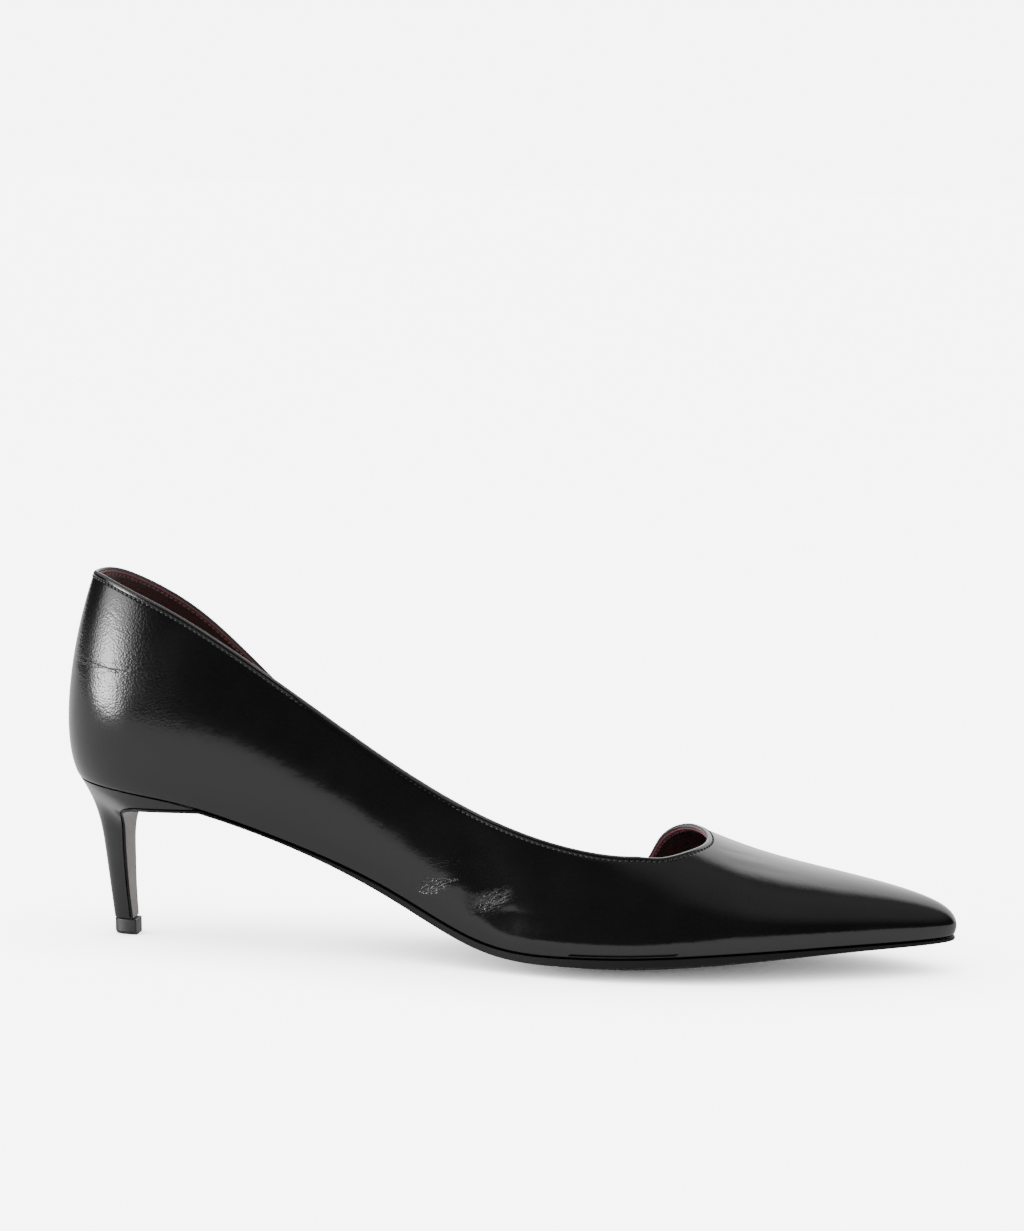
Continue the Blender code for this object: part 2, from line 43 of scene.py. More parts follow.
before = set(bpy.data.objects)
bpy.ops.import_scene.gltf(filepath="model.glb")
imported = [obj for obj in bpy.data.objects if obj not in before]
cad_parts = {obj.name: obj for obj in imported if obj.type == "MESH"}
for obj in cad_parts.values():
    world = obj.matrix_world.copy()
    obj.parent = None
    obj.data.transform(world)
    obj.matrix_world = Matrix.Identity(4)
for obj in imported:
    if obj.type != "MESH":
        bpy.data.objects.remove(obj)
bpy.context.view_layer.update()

MM = 0.001
BODY = "root"

# The last's ribs, from the back of the heel to the tip of the toe
RIB_COLUMNS = ("x", "y", "turn", "outer", "inner", "feather", "arch", "dip", "bulge", "rise",
               "crown", "ridge", "top_out", "top_in", "sole")
RIBS = (
    ("heel back", -106, 0.0, -90, 20.5, 20.5, 47.4, 0.0, 1.2, 11.0, 18, 13.8, 128, 107.4, 107.4, 0.8),
    ("heel corner", -104, 0.0, -50, 23.1, 23.1, 47.2, 0.0, 1.2, 10.4, 19, 16.6, 127, 107.2, 106.4, 0.8),
    ("heel side", -98, 0.0, -12, 25.4, 25.4, 45.3, 0.0, 1.2, 9.0, 20, 19.5, 125, 101.8, 97.6, 0.8),
    ("seat front", -84, 0.0, 0, 24.8, 24.2, 41.3, 0.7, 0.9, 8.5, 21, 19.5, 119, 92.4, 82.5, 0.8),
    ("waist back", -58, 0.0, 0, 22.6, 20.8, 32.4, 2.0, 0.5, 9.5, 22, 18.0, 106, 76.0, 58.0, 0.9),
    ("waist", -30, 0.0, 0, 24.0, 20.0, 20.9, 2.6, 0.4, 6.0, 22, 18.0, 90, 57.8, 35.0, 2.0),
    ("waist front", -3, 0.0, 0, 29.8, 24.0, 8.6, 2.0, 1.2, 3.4, 20, 21.0, 72, 44.1, 19.5, 2.2),
    ("outer ball", 22, 0.0, 0, 35.6, 31.6, 6.4, 0.8, 3.8, 2.8, 18, 24.0, 54, 36.8, 15.6, 2.3),
    ("inner ball", 46, 0.4, 0, 36.4, 35.6, 7.3, 0.0, 4.4, 2.4, 16, 25.0, 42.0, 34.9, 24.0, 2.3),
    ("vamp", 70, 1.2, 4, 32.4, 33.2, 9.0, 0.0, 3.8, 2.6, 13.5, 21.5, 32.7, 36.0, 34.0, 2.0),
    ("toe box", 92, 2.2, 18, 22.8, 25.0, 10.1, 0.0, 2.6, 3.0, 11, 14.5, 27.7, 28.0, 28.0, 1.4),
    ("toe side", 110, 3.0, 46, 14.6, 15.6, 10.5, 0.0, 1.4, 2.8, 8.5, 9.0, 24.2, 24.0, 24.0, 1.1),
    ("toe tip", 118, 3.4, 90, 11.3, 11.3, 10.6, 0.0, 0.9, 2.6, 6.5, 7.0, 22.2, 22.0, 22.0, 1.0),
)
RING_NAMES = ("x", "y", "heading", "width", "feather", "dip", "bulge", "rise", "crown", "ridge",
              "top", "sole", "mid_feather")
LAST_RIB = len(RIBS) - 1
RING = 2 * LAST_RIB
BOTTOM_ROUNDING = 2.6
FLOOR_CLEARANCE = 2.5     # lowest the last's bottom comes above the floor

# The throat: the rib's foot on the middle line, and how far round the rib it crosses
THROAT = (
    ("outer corner", 47.2, -0.392),
    ("outer bend", 51.0, -0.339),
    ("outer front", 54.6, -0.259),
    ("front", 57.2, -0.172),
    ("outer of middle", 58.2, -0.086),
    ("middle", 57.6, 0.000),
    ("inner of middle", 55.9, 0.079),
    ("inner front", 53.0, 0.173),
    ("inner bend", 49.0, 0.288),
    ("inner corner", 44.8, 0.403),
    ("inner rise", 40.6, 0.531),
    ("inner drop", 36.9, 0.682),
    ("inner foot", 33.2, 0.776),
)
THROAT_OUTER_X = 41.0
THROAT_INNER_X = 27.0
JOIN_STEP = 6.0
TOE_CENTRE_SHARE = 0.28
FAN_START = 5.0
FAN_CROWDING = 0.9
COLLAR_STEPS = 240

# How the heel narrows from its seat to the top lift
HEEL_ROWS = (
    # name           down   back   side   breast
    ("seat edge", 0.000, 0.000, 0.000, 0.000),
    ("tongue", 0.006, 0.015, 0.020, 0.330),
    ("tongue root", 0.014, 0.030, 0.060, 0.670),
    ("corner front", 0.034, 0.070, 0.150, 0.910),
    ("corner", 0.090, 0.165, 0.380, 1.040),
    ("corner back", 0.165, 0.295, 0.640, 1.090),
    ("cup", 0.260, 0.440, 0.800, 1.105),
    ("neck", 0.375, 0.570, 0.860, 1.108),
    ("upper column", 0.540, 0.690, 0.895, 1.096),
    ("column", 0.770, 0.830, 0.950, 1.072),
    ("heel tip", 1.000, 0.970, 1.000, 1.035),
)
HEEL_FRONT_X = -87.0
HEEL_INSET = 0.3
FLAP_THICKNESS = 0.8
FLAP_START = 0.06
SOLE_OVERHANG = 0.2
SEAM_GAP = 0.3
UPPER_WALL = 1.6
INSOLE_INSET = 0.4
INSOLE_THICKNESS = 1.5
LIFT_HEIGHT = 4.6
LIFT_LENGTH = 7.0
LIFT_WIDTH = 7.4
LIFT_BACK = -116.3
COLUMN_INSET = 0.2
COLUMN_BACK_POWER = 0.85
COLUMN_SIDE_POWER = 0.8
COLUMN_FRONT = LIFT_BACK + LIFT_LENGTH - FLAP_THICKNESS - SEAM_GAP
COLUMN_LENGTH = COLUMN_FRONT - LIFT_BACK - COLUMN_INSET


# The last

def make_ring():
    """Values and bends of the last's table, laid out as one closed ring of ribs."""
    rows = []
    for index in range(RING):
        inner = index > LAST_RIB
        row = dict(zip(RIB_COLUMNS, RIBS[RING - index if inner else index][1:]))
        heading = 180.0 - row["turn"] if inner else row["turn"]
        rows.append((
            row["x"], row["y"],
            heading + 90.0 - 360.0 * index / RING,
            row["inner"] if inner else row["outer"],
            row["feather"] + (row["arch"] if inner else 0.0),
            row["dip"], row["bulge"], row["rise"], row["crown"], row["ridge"],
            row["top_in"] if inner else row["top_out"],
            row["sole"],
            row["feather"] + 0.5 * row["arch"],
        ))
    values = np.array(rows, float)
    matrix = 4.0 * np.eye(RING) + np.roll(np.eye(RING), 1, 0) + np.roll(np.eye(RING), -1, 0)
    bends = np.linalg.solve(matrix, 6.0 * (np.roll(values, 1, 0) - 2.0 * values + np.roll(values, -1, 0)))
    return values, bends


RING_ROWS, RING_BENDS = make_ring()


def rib(r):
    """Values of the last at ring position r: 0 heel back, LAST_RIB toe tip, RING back again."""
    r = np.asarray(r, float)
    low = np.floor(r).astype(int)
    t = (r - low)[..., None]
    a, b = low % RING, (low + 1) % RING
    value = ((1 - t) * RING_ROWS[a] + t * RING_ROWS[b]
             + ((1 - t) ** 3 - (1 - t)) * RING_BENDS[a] / 6.0
             + (t ** 3 - t) * RING_BENDS[b] / 6.0)
    out = {name: value[..., i] for i, name in enumerate(RING_NAMES)}
    angle = np.radians(out["heading"] + 360.0 * r / RING)
    out["dx"], out["dy"] = -np.cos(angle), -np.sin(angle)
    return out


STATION_GRID = np.linspace(0.0, LAST_RIB, 1201)
STATION_X = rib(STATION_GRID)["x"]


def station_of(x):
    """Rib number, on the outer side, at which the middle line reaches x."""
    return np.interp(x, STATION_X, STATION_GRID)


def ridge_slope(r):
    """Slope of the last's top line at ring position r."""
    station = LAST_RIB - np.abs(np.mod(r, RING) - LAST_RIB)
    step = 0.05
    middle = np.clip(station, step, LAST_RIB - step)
    before, after = rib(middle - step), rib(middle + step)
    return (after["ridge"] - before["ridge"]) / (after["x"] - before["x"])


def rib_curve(r, climb):
    """Distance from the middle line and height at share climb of the rib at r."""
    row = rib(r)
    w0, z0 = row["width"], row["feather"]
    w1, z1 = w0 + row["bulge"], z0 + row["rise"]
    w2, z3 = row["crown"], row["ridge"]
    z2 = z3 + ridge_slope(r) * w2 * row["dx"]
    a, b = (1 - climb) ** 3, 3 * climb * (1 - climb) ** 2
    c, d = 3 * climb ** 2 * (1 - climb), climb ** 3
    return a * w0 + b * w1 + c * w2, a * z0 + b * z1 + c * z2 + d * z3


def last_point(r, climb):
    """Point on the side or top of the last."""
    row = rib(r)
    out, height = rib_curve(r, climb)
    return np.stack([row["x"] + out * row["dx"], row["y"] + out * row["dy"], height], -1)


def bottom_point(r, out):
    """Point on the bottom of the last, out millimetres from the middle line."""
    row = rib(r)
    middle = row["mid_feather"] - row["dip"]
    share = np.clip(out / row["width"], 0.0, 2.0)
    height = middle + (row["feather"] - middle) * share ** BOTTOM_ROUNDING
    height = np.maximum(height, FLOOR_CLEARANCE)
    return np.stack([row["x"] + out * row["dx"], row["y"] + out * row["dy"], height], -1)


def collar_climb(r):
    """Share of the rib at which the side's collar edge crosses it."""
    r = np.asarray(r, float)
    low, high = np.zeros_like(r), np.full_like(r, 0.98)
    target = rib(r)["top"]
    for _ in range(40):
        middle = 0.5 * (low + high)
        below = rib_curve(r, middle)[1] < target
        low, high = np.where(below, middle, low), np.where(below, high, middle)
    return low


def side_share(inner, x):
    """Signed share round the rib at which a side's collar crosses the rib at x."""
    station = station_of(x)
    climb = float(collar_climb(RING - station if inner else station))
    return 1.0 - climb if inner else climb - 1.0


def curve_through(knots, values, at):
    """Smooth open curve through values at the knots, straight at both ends."""
    count = len(knots)
    step = np.diff(knots)[:, None]
    matrix = np.eye(count)
    right = np.zeros_like(values)
    slope = np.diff(values, axis=0) / step
    for row in range(1, count - 1):
        matrix[row, row - 1] = step[row - 1, 0]
        matrix[row, row] = 2.0 * (step[row - 1, 0] + step[row, 0])
        matrix[row, row + 1] = step[row, 0]
        right[row] = 6.0 * (slope[row] - slope[row - 1])
    bends = np.linalg.solve(matrix, right)
    low = np.clip(np.searchsorted(knots, at) - 1, 0, count - 2)
    width = step[low]
    t = (at - knots[low])[:, None] / width
    return ((1 - t) * values[low] + t * values[low + 1]
            + width ** 2 / 6.0 * (((1 - t) ** 3 - (1 - t)) * bends[low] + (t ** 3 - t) * bends[low + 1]))


def throat_curve():
    """Smooth line through the throat table: stations and signed shares, outer side first."""
    rows = [(x, side_share(False, x)) for x in (THROAT_OUTER_X - JOIN_STEP, THROAT_OUTER_X)]
    rows += [row[1:] for row in THROAT]
    rows += [(x, side_share(True, x)) for x in (THROAT_INNER_X, THROAT_INNER_X - JOIN_STEP)]
    knots = np.array([(station_of(x), share) for x, share in rows])
    ring = np.where(knots[:, 1] > 0, RING - knots[:, 0], knots[:, 0])
    points = last_point(ring, 1.0 - np.abs(knots[:, 1]))
    length = np.concatenate([[0.0], np.cumsum(np.linalg.norm(np.diff(points, axis=0), axis=1))])
    return curve_through(length, knots, np.linspace(length[1], length[-2], 2 * COLLAR_STEPS))


THROAT_LINE = throat_curve()


def collar_path(inner):
    """Stations and shares of the rib along one side's collar, heel back to the throat's middle."""
    start_x = THROAT_INNER_X if inner else THROAT_OUTER_X
    side = np.linspace(0.0, float(station_of(start_x)), COLLAR_STEPS)
    side_climb = collar_climb(RING - side if inner else side)
    middle = np.interp(0.0, THROAT_LINE[:, 1], THROAT_LINE[:, 0])
    half = THROAT_LINE[THROAT_LINE[:, 1] > 0][::-1] if inner else THROAT_LINE[THROAT_LINE[:, 1] < 0]
    corner = np.concatenate([half[1:, 0], [middle]])
    corner_climb = np.concatenate([1.0 - np.abs(half[1:, 1]), [1.0]])
    return np.concatenate([side, corner]), np.concatenate([side_climb, corner_climb])


def collar_heads(inner, feet):
    """Where the upper's columns with the given feet end on the collar: station and climb."""
    station, climb = collar_path(inner)
    points = last_point(RING - station if inner else station, climb)
    step = np.linalg.norm(np.diff(points, axis=0), axis=1)
    length = np.concatenate([[0.0], np.cumsum(step)])
    start = np.interp(FAN_START, station[:COLLAR_STEPS], length[:COLLAR_STEPS])
    fan = np.clip((feet - FAN_START) / (LAST_RIB - FAN_START), 0.0, 1.0)
    fan = (1.0 + FAN_CROWDING) * fan - FAN_CROWDING * fan ** 2
    along = start + (length[-1] - start) * fan
    plain = np.interp(feet, station[:COLLAR_STEPS], length[:COLLAR_STEPS])
    along = np.where(feet < FAN_START, plain, along)
    return np.interp(along, length, station), np.interp(along, length, climb)


def upper_grid(stations, rows):
    """Outer face of the upper: columns round the shoe, rows from the feather edge to the collar."""
    foot = np.linspace(0.0, LAST_RIB, stations + 1)
    fan = np.clip((foot - FAN_START) / (LAST_RIB - FAN_START), 0.0, 1.0)
    lean = (fan * fan * (3 - 2 * fan))[:, None]
    t = np.linspace(0.0, 1.0, rows + 1)[None, :]
    rest = np.maximum((t - TOE_CENTRE_SHARE) / (1 - TOE_CENTRE_SHARE), 0.0)
    climb_share = (1 - lean) * t + lean * np.minimum(t / TOE_CENTRE_SHARE, 1.0)
    back_share = (1 - lean) * t + lean * rest
    sides = []
    for inner in (False, True):
        head, edge = collar_heads(inner, foot)
        station = foot[:, None] + (head - foot)[:, None] * back_share
        ring = RING - station if inner else station
        sides.append(last_point(ring, climb_share * edge[:, None]))
    outer_side, inner_side = sides
    ring = np.concatenate([foot, RING - foot[-2:0:-1]])
    return np.concatenate([outer_side, inner_side[-2:0:-1]], 0), ring


def smooth(share):
    """0 to 1 with soft ends."""
    return share * share * (3 - 2 * share)


def between(values, start, end):
    """Share of the way from start to end: 0 before start and 1 past end."""
    return np.clip((values - start) / (end - start), 0.0, 1.0)


def rise_and_fall(values, start, full, hold, end):
    """0 up to start, 1 between full and hold, 0 from end on, smooth between."""
    return smooth(between(values, start, full)) * smooth(between(values, end, hold))


def read_columns(at, length, values):
    """Each column's values, read at its own lengths along it."""
    columns = [[np.interp(at[i], length[i], values[i, :, axis]) for axis in range(3)]
               for i in range(len(values))]
    return np.moveaxis(np.array(columns), 1, 2)


def grid_normals(points):
    """Outward normals of a grid whose columns close round the shoe."""
    around = np.roll(points, -1, 0) - np.roll(points, 1, 0)
    up = np.empty_like(points)
    up[:, 1:-1] = points[:, 2:] - points[:, :-2]
    up[:, 0] = points[:, 1] - points[:, 0]
    up[:, -1] = points[:, -1] - points[:, -2]
    normal = np.cross(around, up)
    return normal / np.linalg.norm(normal, axis=2, keepdims=True)


# Meshes

def new_piece(name, points, faces, material, replaced=None):
    """A mesh object from points in millimetres, riding on the shoe's body."""
    mesh = bpy.data.meshes.new(name)
    mesh.from_pydata((np.asarray(points, float) * MM).tolist(), [], faces)
    mesh.shade_smooth()
    mesh.materials.append(material)
    piece = bpy.data.objects.new(name, mesh)
    bpy.context.scene.collection.objects.link(piece)
    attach(piece, BODY)
    if replaced:
        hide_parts(replaced)
    return piece


def grid_faces(columns, rows, closed=True):
    """Quads of a grid stored column by column, closed round the columns if asked."""
    faces = []
    for i in range(columns if closed else columns - 1):
        for j in range(rows - 1):
            a, b = i * rows + j, ((i + 1) % columns) * rows + j
            faces.append((a, b, b + 1, a + 1))
    return faces


def point_values(mesh, name, values):
    """Keep one number for each point as an attribute that a material reads."""
    attribute = mesh.attributes.new(name, "FLOAT", "POINT")
    attribute.data.foreach_set("value", np.asarray(values, np.float32).ravel())


# The outer wall lies a little inside the solid's at the waist and the ball, as its gloss shows.
# Along the shoe, and at the ball up the wall too: from, full from, full to and to
BALL_DEPTH = 1.1
BALL_ALONG = (-14.0, 8.0, 38.0, 75.0)
BALL_UP = (2.5, 12.0, 16.0, 34.0)
WAIST_LEAN = 0.045        # millimetres in for each millimetre up
WAIST_START = 6.0
WAIST_EASE = 2.0
WAIST_ALONG = (-82.0, -46.0, -14.0, 8.0)


def wall_lean(points, above_feather):
    """How far in the outer wall lies at each point."""
    along = points[..., 0]
    ball = BALL_DEPTH * rise_and_fall(along, *BALL_ALONG) * rise_and_fall(above_feather, *BALL_UP)
    past = above_feather - WAIST_START
    climbed = 0.5 * (past + np.sqrt(past ** 2 + WAIST_EASE ** 2))
    waist = WAIST_LEAN * rise_and_fall(along, *WAIST_ALONG) * climbed
    return (ball + waist) * (points[..., 1] < 0.0)


def wall_layout(stations, dense_rows, near_rows, far_rows):
    """The upper's wall by distance from the collar.

    Gives the points, normals and distances of its columns, then each column's collar point, the
    normal and the way up there, and its ring position."""
    grid, ring = upper_grid(stations, dense_rows)
    grid = grid[:, ::-1]
    normals = -grid_normals(grid)       # the rows now run down from the collar
    step = np.linalg.norm(np.diff(grid, axis=1), axis=2)
    length = np.concatenate([np.zeros((len(grid), 1)), np.cumsum(step, axis=1)], 1)
    near = np.array(near_rows, float)
    share = np.linspace(0.0, 1.0, far_rows + 1)[1:]
    distance = np.empty((len(grid), len(near) + far_rows))
    distance[:, :len(near)] = near
    distance[:, len(near):] = near[-1] + (length[:, -1:] - near[-1]) * share
    points = read_columns(distance, length, grid)
    directions = read_columns(distance, length, normals)
    directions /= np.linalg.norm(directions, axis=2, keepdims=True)
    points -= directions * wall_lean(points, length[:, -1:] - distance)[..., None]
    edge_up = grid[:, 0] - grid[:, 2]
    edge_up /= np.linalg.norm(edge_up, axis=1, keepdims=True)
    return points, directions, distance, grid[:, 0], normals[:, 0], edge_up, ring


# Rows of the wall: distances from the collar close to the seam, then evenly to the feather edge
WALL_NEAR_ROWS = (0.55, 0.85, 1.15, 1.4, 1.6, 1.75, 1.88, 2.0, 2.15, 2.4, 2.8, 3.4, 4.2)
WALL_STATIONS = 240
WALL_DENSE_ROWS = 160
WALL_FAR_ROWS = 64
WALL = wall_layout(WALL_STATIONS, WALL_DENSE_ROWS, WALL_NEAR_ROWS, WALL_FAR_ROWS)

# Soft folds of the outer leather, placed from the photo. Each runs between two points, given
# as along and height on the outer side or as along and across on top of the vamp.
CREASES = (
    # name             view    x0      h0     x1      h1    width  depth
    ("counter trough", "side", -127.0, 82.0, -106.0, 81.2, 1.1, 0.04),
    ("counter ridge", "side", -126.0, 79.6, -104.0, 79.0, 1.4, -0.04),
    ("waist one", "side", -22.0, 22.2, -11.0, 27.0, 1.0, 0.09),
    ("waist two", "side", -19.0, 20.6, -9.0, 24.8, 1.1, -0.07),
    ("waist three", "side", -6.0, 17.2, 6.0, 23.6, 1.2, 0.09),
    ("waist four", "side", -1.0, 16.8, 9.0, 22.0, 1.1, -0.07),
    ("vamp one", "top", 60.0, -9.0, 74.0, -3.0, 1.4, 0.06),
    ("vamp two", "top", 63.0, -12.0, 80.0, -6.0, 1.6, -0.05),
    ("vamp three", "top", 66.0, -14.5, 86.0, -9.0, 1.6, 0.05),
)
CREASE_TAPER = 0.6        # below 1 the folds stay deep close to their ends

# Patches of fine wrinkles: centre, half length and half width, direction of the wrinkles in
# degrees, wrinkle spacing and strength
WRINKLES = (
    # name            view    x       h     half_l half_w turn  spacing strength
    ("counter", "side", -112.0, 81.6, 18.0, 2.8, -2.0, 2.4, 1.4),
    ("under collar", "side", -115.0, 96.0, 9.0, 5.0, -25.0, 1.8, 0.3),
    ("waist", "side", -16.0, 24.2, 7.5, 3.0, 28.0, 0.75, 1.5),
    ("ball", "side", -0.2, 20.6, 8.0, 3.2, 26.0, 0.75, 1.3),
    ("waist streaks", "side", -12.0, 31.0, 11.0, 4.0, 8.0, 1.1, 0.15),
    ("vamp side", "side", 70.0, 25.0, 4.5, 20.0, 84.0, 1.2, 0.3),
)
PATCH_END = 1.25          # where a patch's wrinkles have faded, in half sizes
PATCH_REACH = 1.3         # how far out its places are given
PATCH_APART = 100.0       # keeps each patch's noise apart from the others'

# Where the leather is grainy and less polished: centre and half sizes on the outer side
GRAINY = (-106.0, 88.0, 27.0, 21.0)
GRAIN_END = 1.3
VAMP_TOP_HEIGHT = 14.0    # what is given as seen from the top lies above this


def flat_view(points, view):
    """The two coordinates a fold or patch is given in, and which points it can lie on."""
    if view == "side":
        return points[..., [0, 2]], points[..., 1] < 0.0
    return points[..., [0, 1]], points[..., 2] > VAMP_TOP_HEIGHT


def crease_depth(points):
    """How far each point of the outer leather is pushed in by the soft folds."""
    push = np.zeros(points.shape[:-1])
    for _, view, x0, h0, x1, h1, width, depth in CREASES:
        flat, mask = flat_view(points, view)
        start, end = np.array([x0, h0]), np.array([x1, h1])
        along = end - start
        share = np.clip(((flat - start) @ along) / (along @ along), 0.0, 1.0)
        nearest = start + share[..., None] * along
        distance = np.linalg.norm(flat - nearest, axis=-1)
        taper = np.sin(np.pi * np.clip(share, 0.02, 0.98)) ** CREASE_TAPER
        push += np.where(mask, depth * taper * np.exp(-(distance / width) ** 2), 0.0)
    return push


def grain_share(points):
    """How grainy the leather is at each point: full in the middle of the counter's patch."""
    x, h, half_length, half_height = GRAINY
    reach = np.sqrt(((points[..., 0] - x) / half_length) ** 2 + ((points[..., 2] - h) / half_height) ** 2)
    return smooth(np.clip(GRAIN_END - reach, 0.0, 1.0))


def wrinkle_place(points):
    """For each point: place along and across the wrinkles of its patch, and their strength."""
    place = np.zeros(points.shape)
    for number, (_, view, x, h, half_length, half_width, turn, spacing, strength) in enumerate(WRINKLES):
        flat, mask = flat_view(points, view)
        offset = flat - np.array([x, h])
        angle = math.radians(turn)
        along = offset[..., 0] * math.cos(angle) + offset[..., 1] * math.sin(angle)
        across = offset[..., 1] * math.cos(angle) - offset[..., 0] * math.sin(angle)
        reach = np.sqrt((along / half_length) ** 2 + (across / half_width) ** 2)
        inside = mask & (reach < PATCH_REACH)
        place[inside, 0] = (along / spacing + PATCH_APART * number)[inside]
        place[inside, 1] = (across / spacing)[inside]
        place[inside, 2] = (strength * np.clip(PATCH_END - reach, 0.0, 1.0) ** 2)[inside]
    return place


# The collar's fold, the seam under it and the feather edge
FOLD_PUFF = 0.16
SEAM_DEPTH = 0.16
SEAM_WIDTH = 0.24
FOLD_TAILS = (2.4, 1.4)   # how far down inside the folded leather goes
FOLD_ARC = np.radians(np.linspace(180.0, 22.5, 8))
CREASE_FADE = 6.0         # the soft folds reach their depth this far below the collar
FEATHER_ROUNDING = 0.9
ROUNDED_ROWS = 2          # rows of the wall that give way to the rounded feather edge
MARGIN_REACH = 3.5
# Painted highlight on the fold's rim, where its rounded edge catches the light: full past the second x
# toward the throat, this share of it behind the first
RIM_HIGHLIGHT_ALONG = (25.0, 40.0)
RIM_HIGHLIGHT_LEAST = 0.35


def make_upper(settings, material):
    """Outer leather: fold at the collar, wall with creases, and the feather edge turned under."""
    points, normals, distance, edge, edge_normal, edge_up, ring = WALL
    fold = 0.5 * settings.fold_thickness / MM
    groove = settings.stitch_distance / MM
    puff = FOLD_PUFF * np.sin(np.pi * between(distance, 0.0, groove))
    dent = SEAM_DEPTH * np.exp(-((distance - groove) / SEAM_WIDTH) ** 2)
    shift = puff - dent - crease_depth(points) * between(distance, 0.0, CREASE_FADE)
    wall = points + normals * shift[..., None]
    inside = edge - edge_normal * 2.0 * fold
    profile = [inside - edge_up * down for down in FOLD_TAILS]
    centre = edge - edge_up * fold - edge_normal * fold
    for angle in FOLD_ARC:
        profile.append(centre + fold * (edge_normal * math.cos(angle) + edge_up * math.sin(angle)))
    rim_end = len(profile) + 1
    for row in range(wall.shape[1] - ROUNDED_ROWS):
        profile.append(wall[:, row])
    width = rib(ring)["width"]
    corner = wall[:, -1]
    upward = profile[-1] - corner
    above = corner + upward * (FEATHER_ROUNDING / np.linalg.norm(upward, axis=1, keepdims=True))
    under = bottom_point(ring, width - FEATHER_ROUNDING)
    for share in (0.0, 0.25, 0.5, 0.75, 1.0):
        profile.append((1 - share) ** 2 * above + 2 * share * (1 - share) * corner + share ** 2 * under)
    profile.append(bottom_point(ring, width - MARGIN_REACH))
    stacked = np.stack(profile, 1)
    rows = stacked.shape[1]
    faces = [face[::-1] for face in grid_faces(len(stacked), rows)]
    piece = new_piece("upper_leather", stacked.reshape(-1, 3), faces, material, "upper")
    attribute = piece.data.attributes.new("wrinkle_place", "FLOAT_VECTOR", "POINT")
    attribute.data.foreach_set("vector", wrinkle_place(stacked).astype(np.float32).ravel())
    point_values(piece.data, "grain_share", grain_share(stacked))
    # A painted highlight on the fold's rim, strongest at the throat
    rim = np.zeros(rows)
    rim[len(FOLD_TAILS):rim_end] = 1.0
    throat = RIM_HIGHLIGHT_LEAST + (1.0 - RIM_HIGHLIGHT_LEAST) * between(stacked[..., 0], *RIM_HIGHLIGHT_ALONG)
    point_values(piece.data, "rim", rim * throat)
    return piece


# The lining under the fold
LINING_GAP = 0.03
LINING_DENT = 0.12        # how deep the seam draws it in
LINING_TAIL = 1.2         # how far down outside, under the leather, its cut edge starts
LINING_CUT = (0.06, 0.08, 0.1)      # rounding of the cut edge: outside, across and inside
LINING_TOP_ROWS = 2       # rows of the wall that lie above the cut edge
LINING_START = 0.4        # the margin is measured from here down
RED_MARGIN = (1.2, 1.5)   # the red fades over this distance
# The margin's red is the lining's own colour; toward the throat it is laid on more strongly as painted
# light, where the far wall faces the light
MARGIN_LIT_ALONG = (8.0, 28.0)
MARGIN_LIT_LEAST = 0.3


def make_lining(settings, material):
    """Inner face of the upper, with the lining's cut edge just under the folded collar."""
    points, normals, distance, edge, edge_normal, edge_up, _ = WALL
    leather = settings.fold_thickness / MM + LINING_GAP
    drop = settings.lining_drop / MM
    groove = settings.stitch_distance / MM
    outer_top = edge - edge_normal * leather
    inner_top = edge - edge_normal * UPPER_WALL
    outside, across, inside = LINING_CUT
    profile = [outer_top - edge_up * (drop + LINING_TAIL), outer_top - edge_up * (drop + outside),
               edge - edge_normal * (leather + across) - edge_up * drop,
               edge - edge_normal * (UPPER_WALL - across) - edge_up * drop,
               inner_top - edge_up * (drop + inside)]
    down = [0.0] * len(profile)
    for row in range(LINING_TOP_ROWS, points.shape[1]):
        sunk = LINING_DENT * np.exp(-((distance[:, row] - groove) / SEAM_WIDTH) ** 2)
        profile.append(points[:, row] - normals[:, row] * (UPPER_WALL - sunk)[:, None])
        down.append(max(distance[0, row] - LINING_START, 0.0))
    stacked = np.stack(profile, 1)
    faces = grid_faces(len(stacked), stacked.shape[1])
    piece = new_piece("lining", stacked.reshape(-1, 3), faces, material)
    margin = 1.0 - between(np.array(down), *RED_MARGIN)
    # Stronger toward the throat: painted light on the lining's own red margin
    front = MARGIN_LIT_LEAST + (1.0 - MARGIN_LIT_LEAST) * between(stacked[..., 0], *MARGIN_LIT_ALONG)
    point_values(piece.data, "margin", margin * front)
    return piece


SLAB_EDGE = 35.0          # degrees between faces from which an edge is rounded


def bottom_rows(stations, edge_offset, lift, shares):
    """Rows of points across the last's bottom, from outer edge to inner edge, raised by lift."""
    shares = np.asarray(shares, float)
    stations = np.asarray(stations, float)[:, None]
    ring = np.where(shares > 0, RING - stations, stations + 0.0 * shares)
    width = rib(ring)["width"] + edge_offset
    points = bottom_point(ring, np.abs(shares) * width)
    points[..., 2] += lift
    return points


def slab(name, top, bottom, material, replaced, bevel):
    """A closed solid between two grids of the same size, its edges softened."""
    rows, columns = top.shape[:2]
    count = rows * columns
    faces = []
    for i in range(rows - 1):
        for j in range(columns - 1):
            a, c = i * columns + j, (i + 1) * columns + j
            faces.append((a, c, c + 1, a + 1))
            faces.append((count + a, count + a + 1, count + c + 1, count + c))
        a, c = i * columns, (i + 1) * columns
        faces.append((a, count + a, count + c, c))
        a, c = a + columns - 1, c + columns - 1
        faces.append((a, c, count + c, count + a))
    for row in (0, rows - 1):
        if np.allclose(top[row], top[row, ::-1]):
            continue            # a row that doubles back on itself closes when its points merge
        for a in range(row * columns, (row + 1) * columns - 1):
            faces.append((a, a + 1, count + a + 1, count + a))
    points = np.concatenate([top.reshape(-1, 3), bottom.reshape(-1, 3)])
    piece = new_piece(name, points, faces, material, replaced)
    clean_mesh(piece.data)
    soften(piece, bevel, SLAB_EDGE)
    return piece


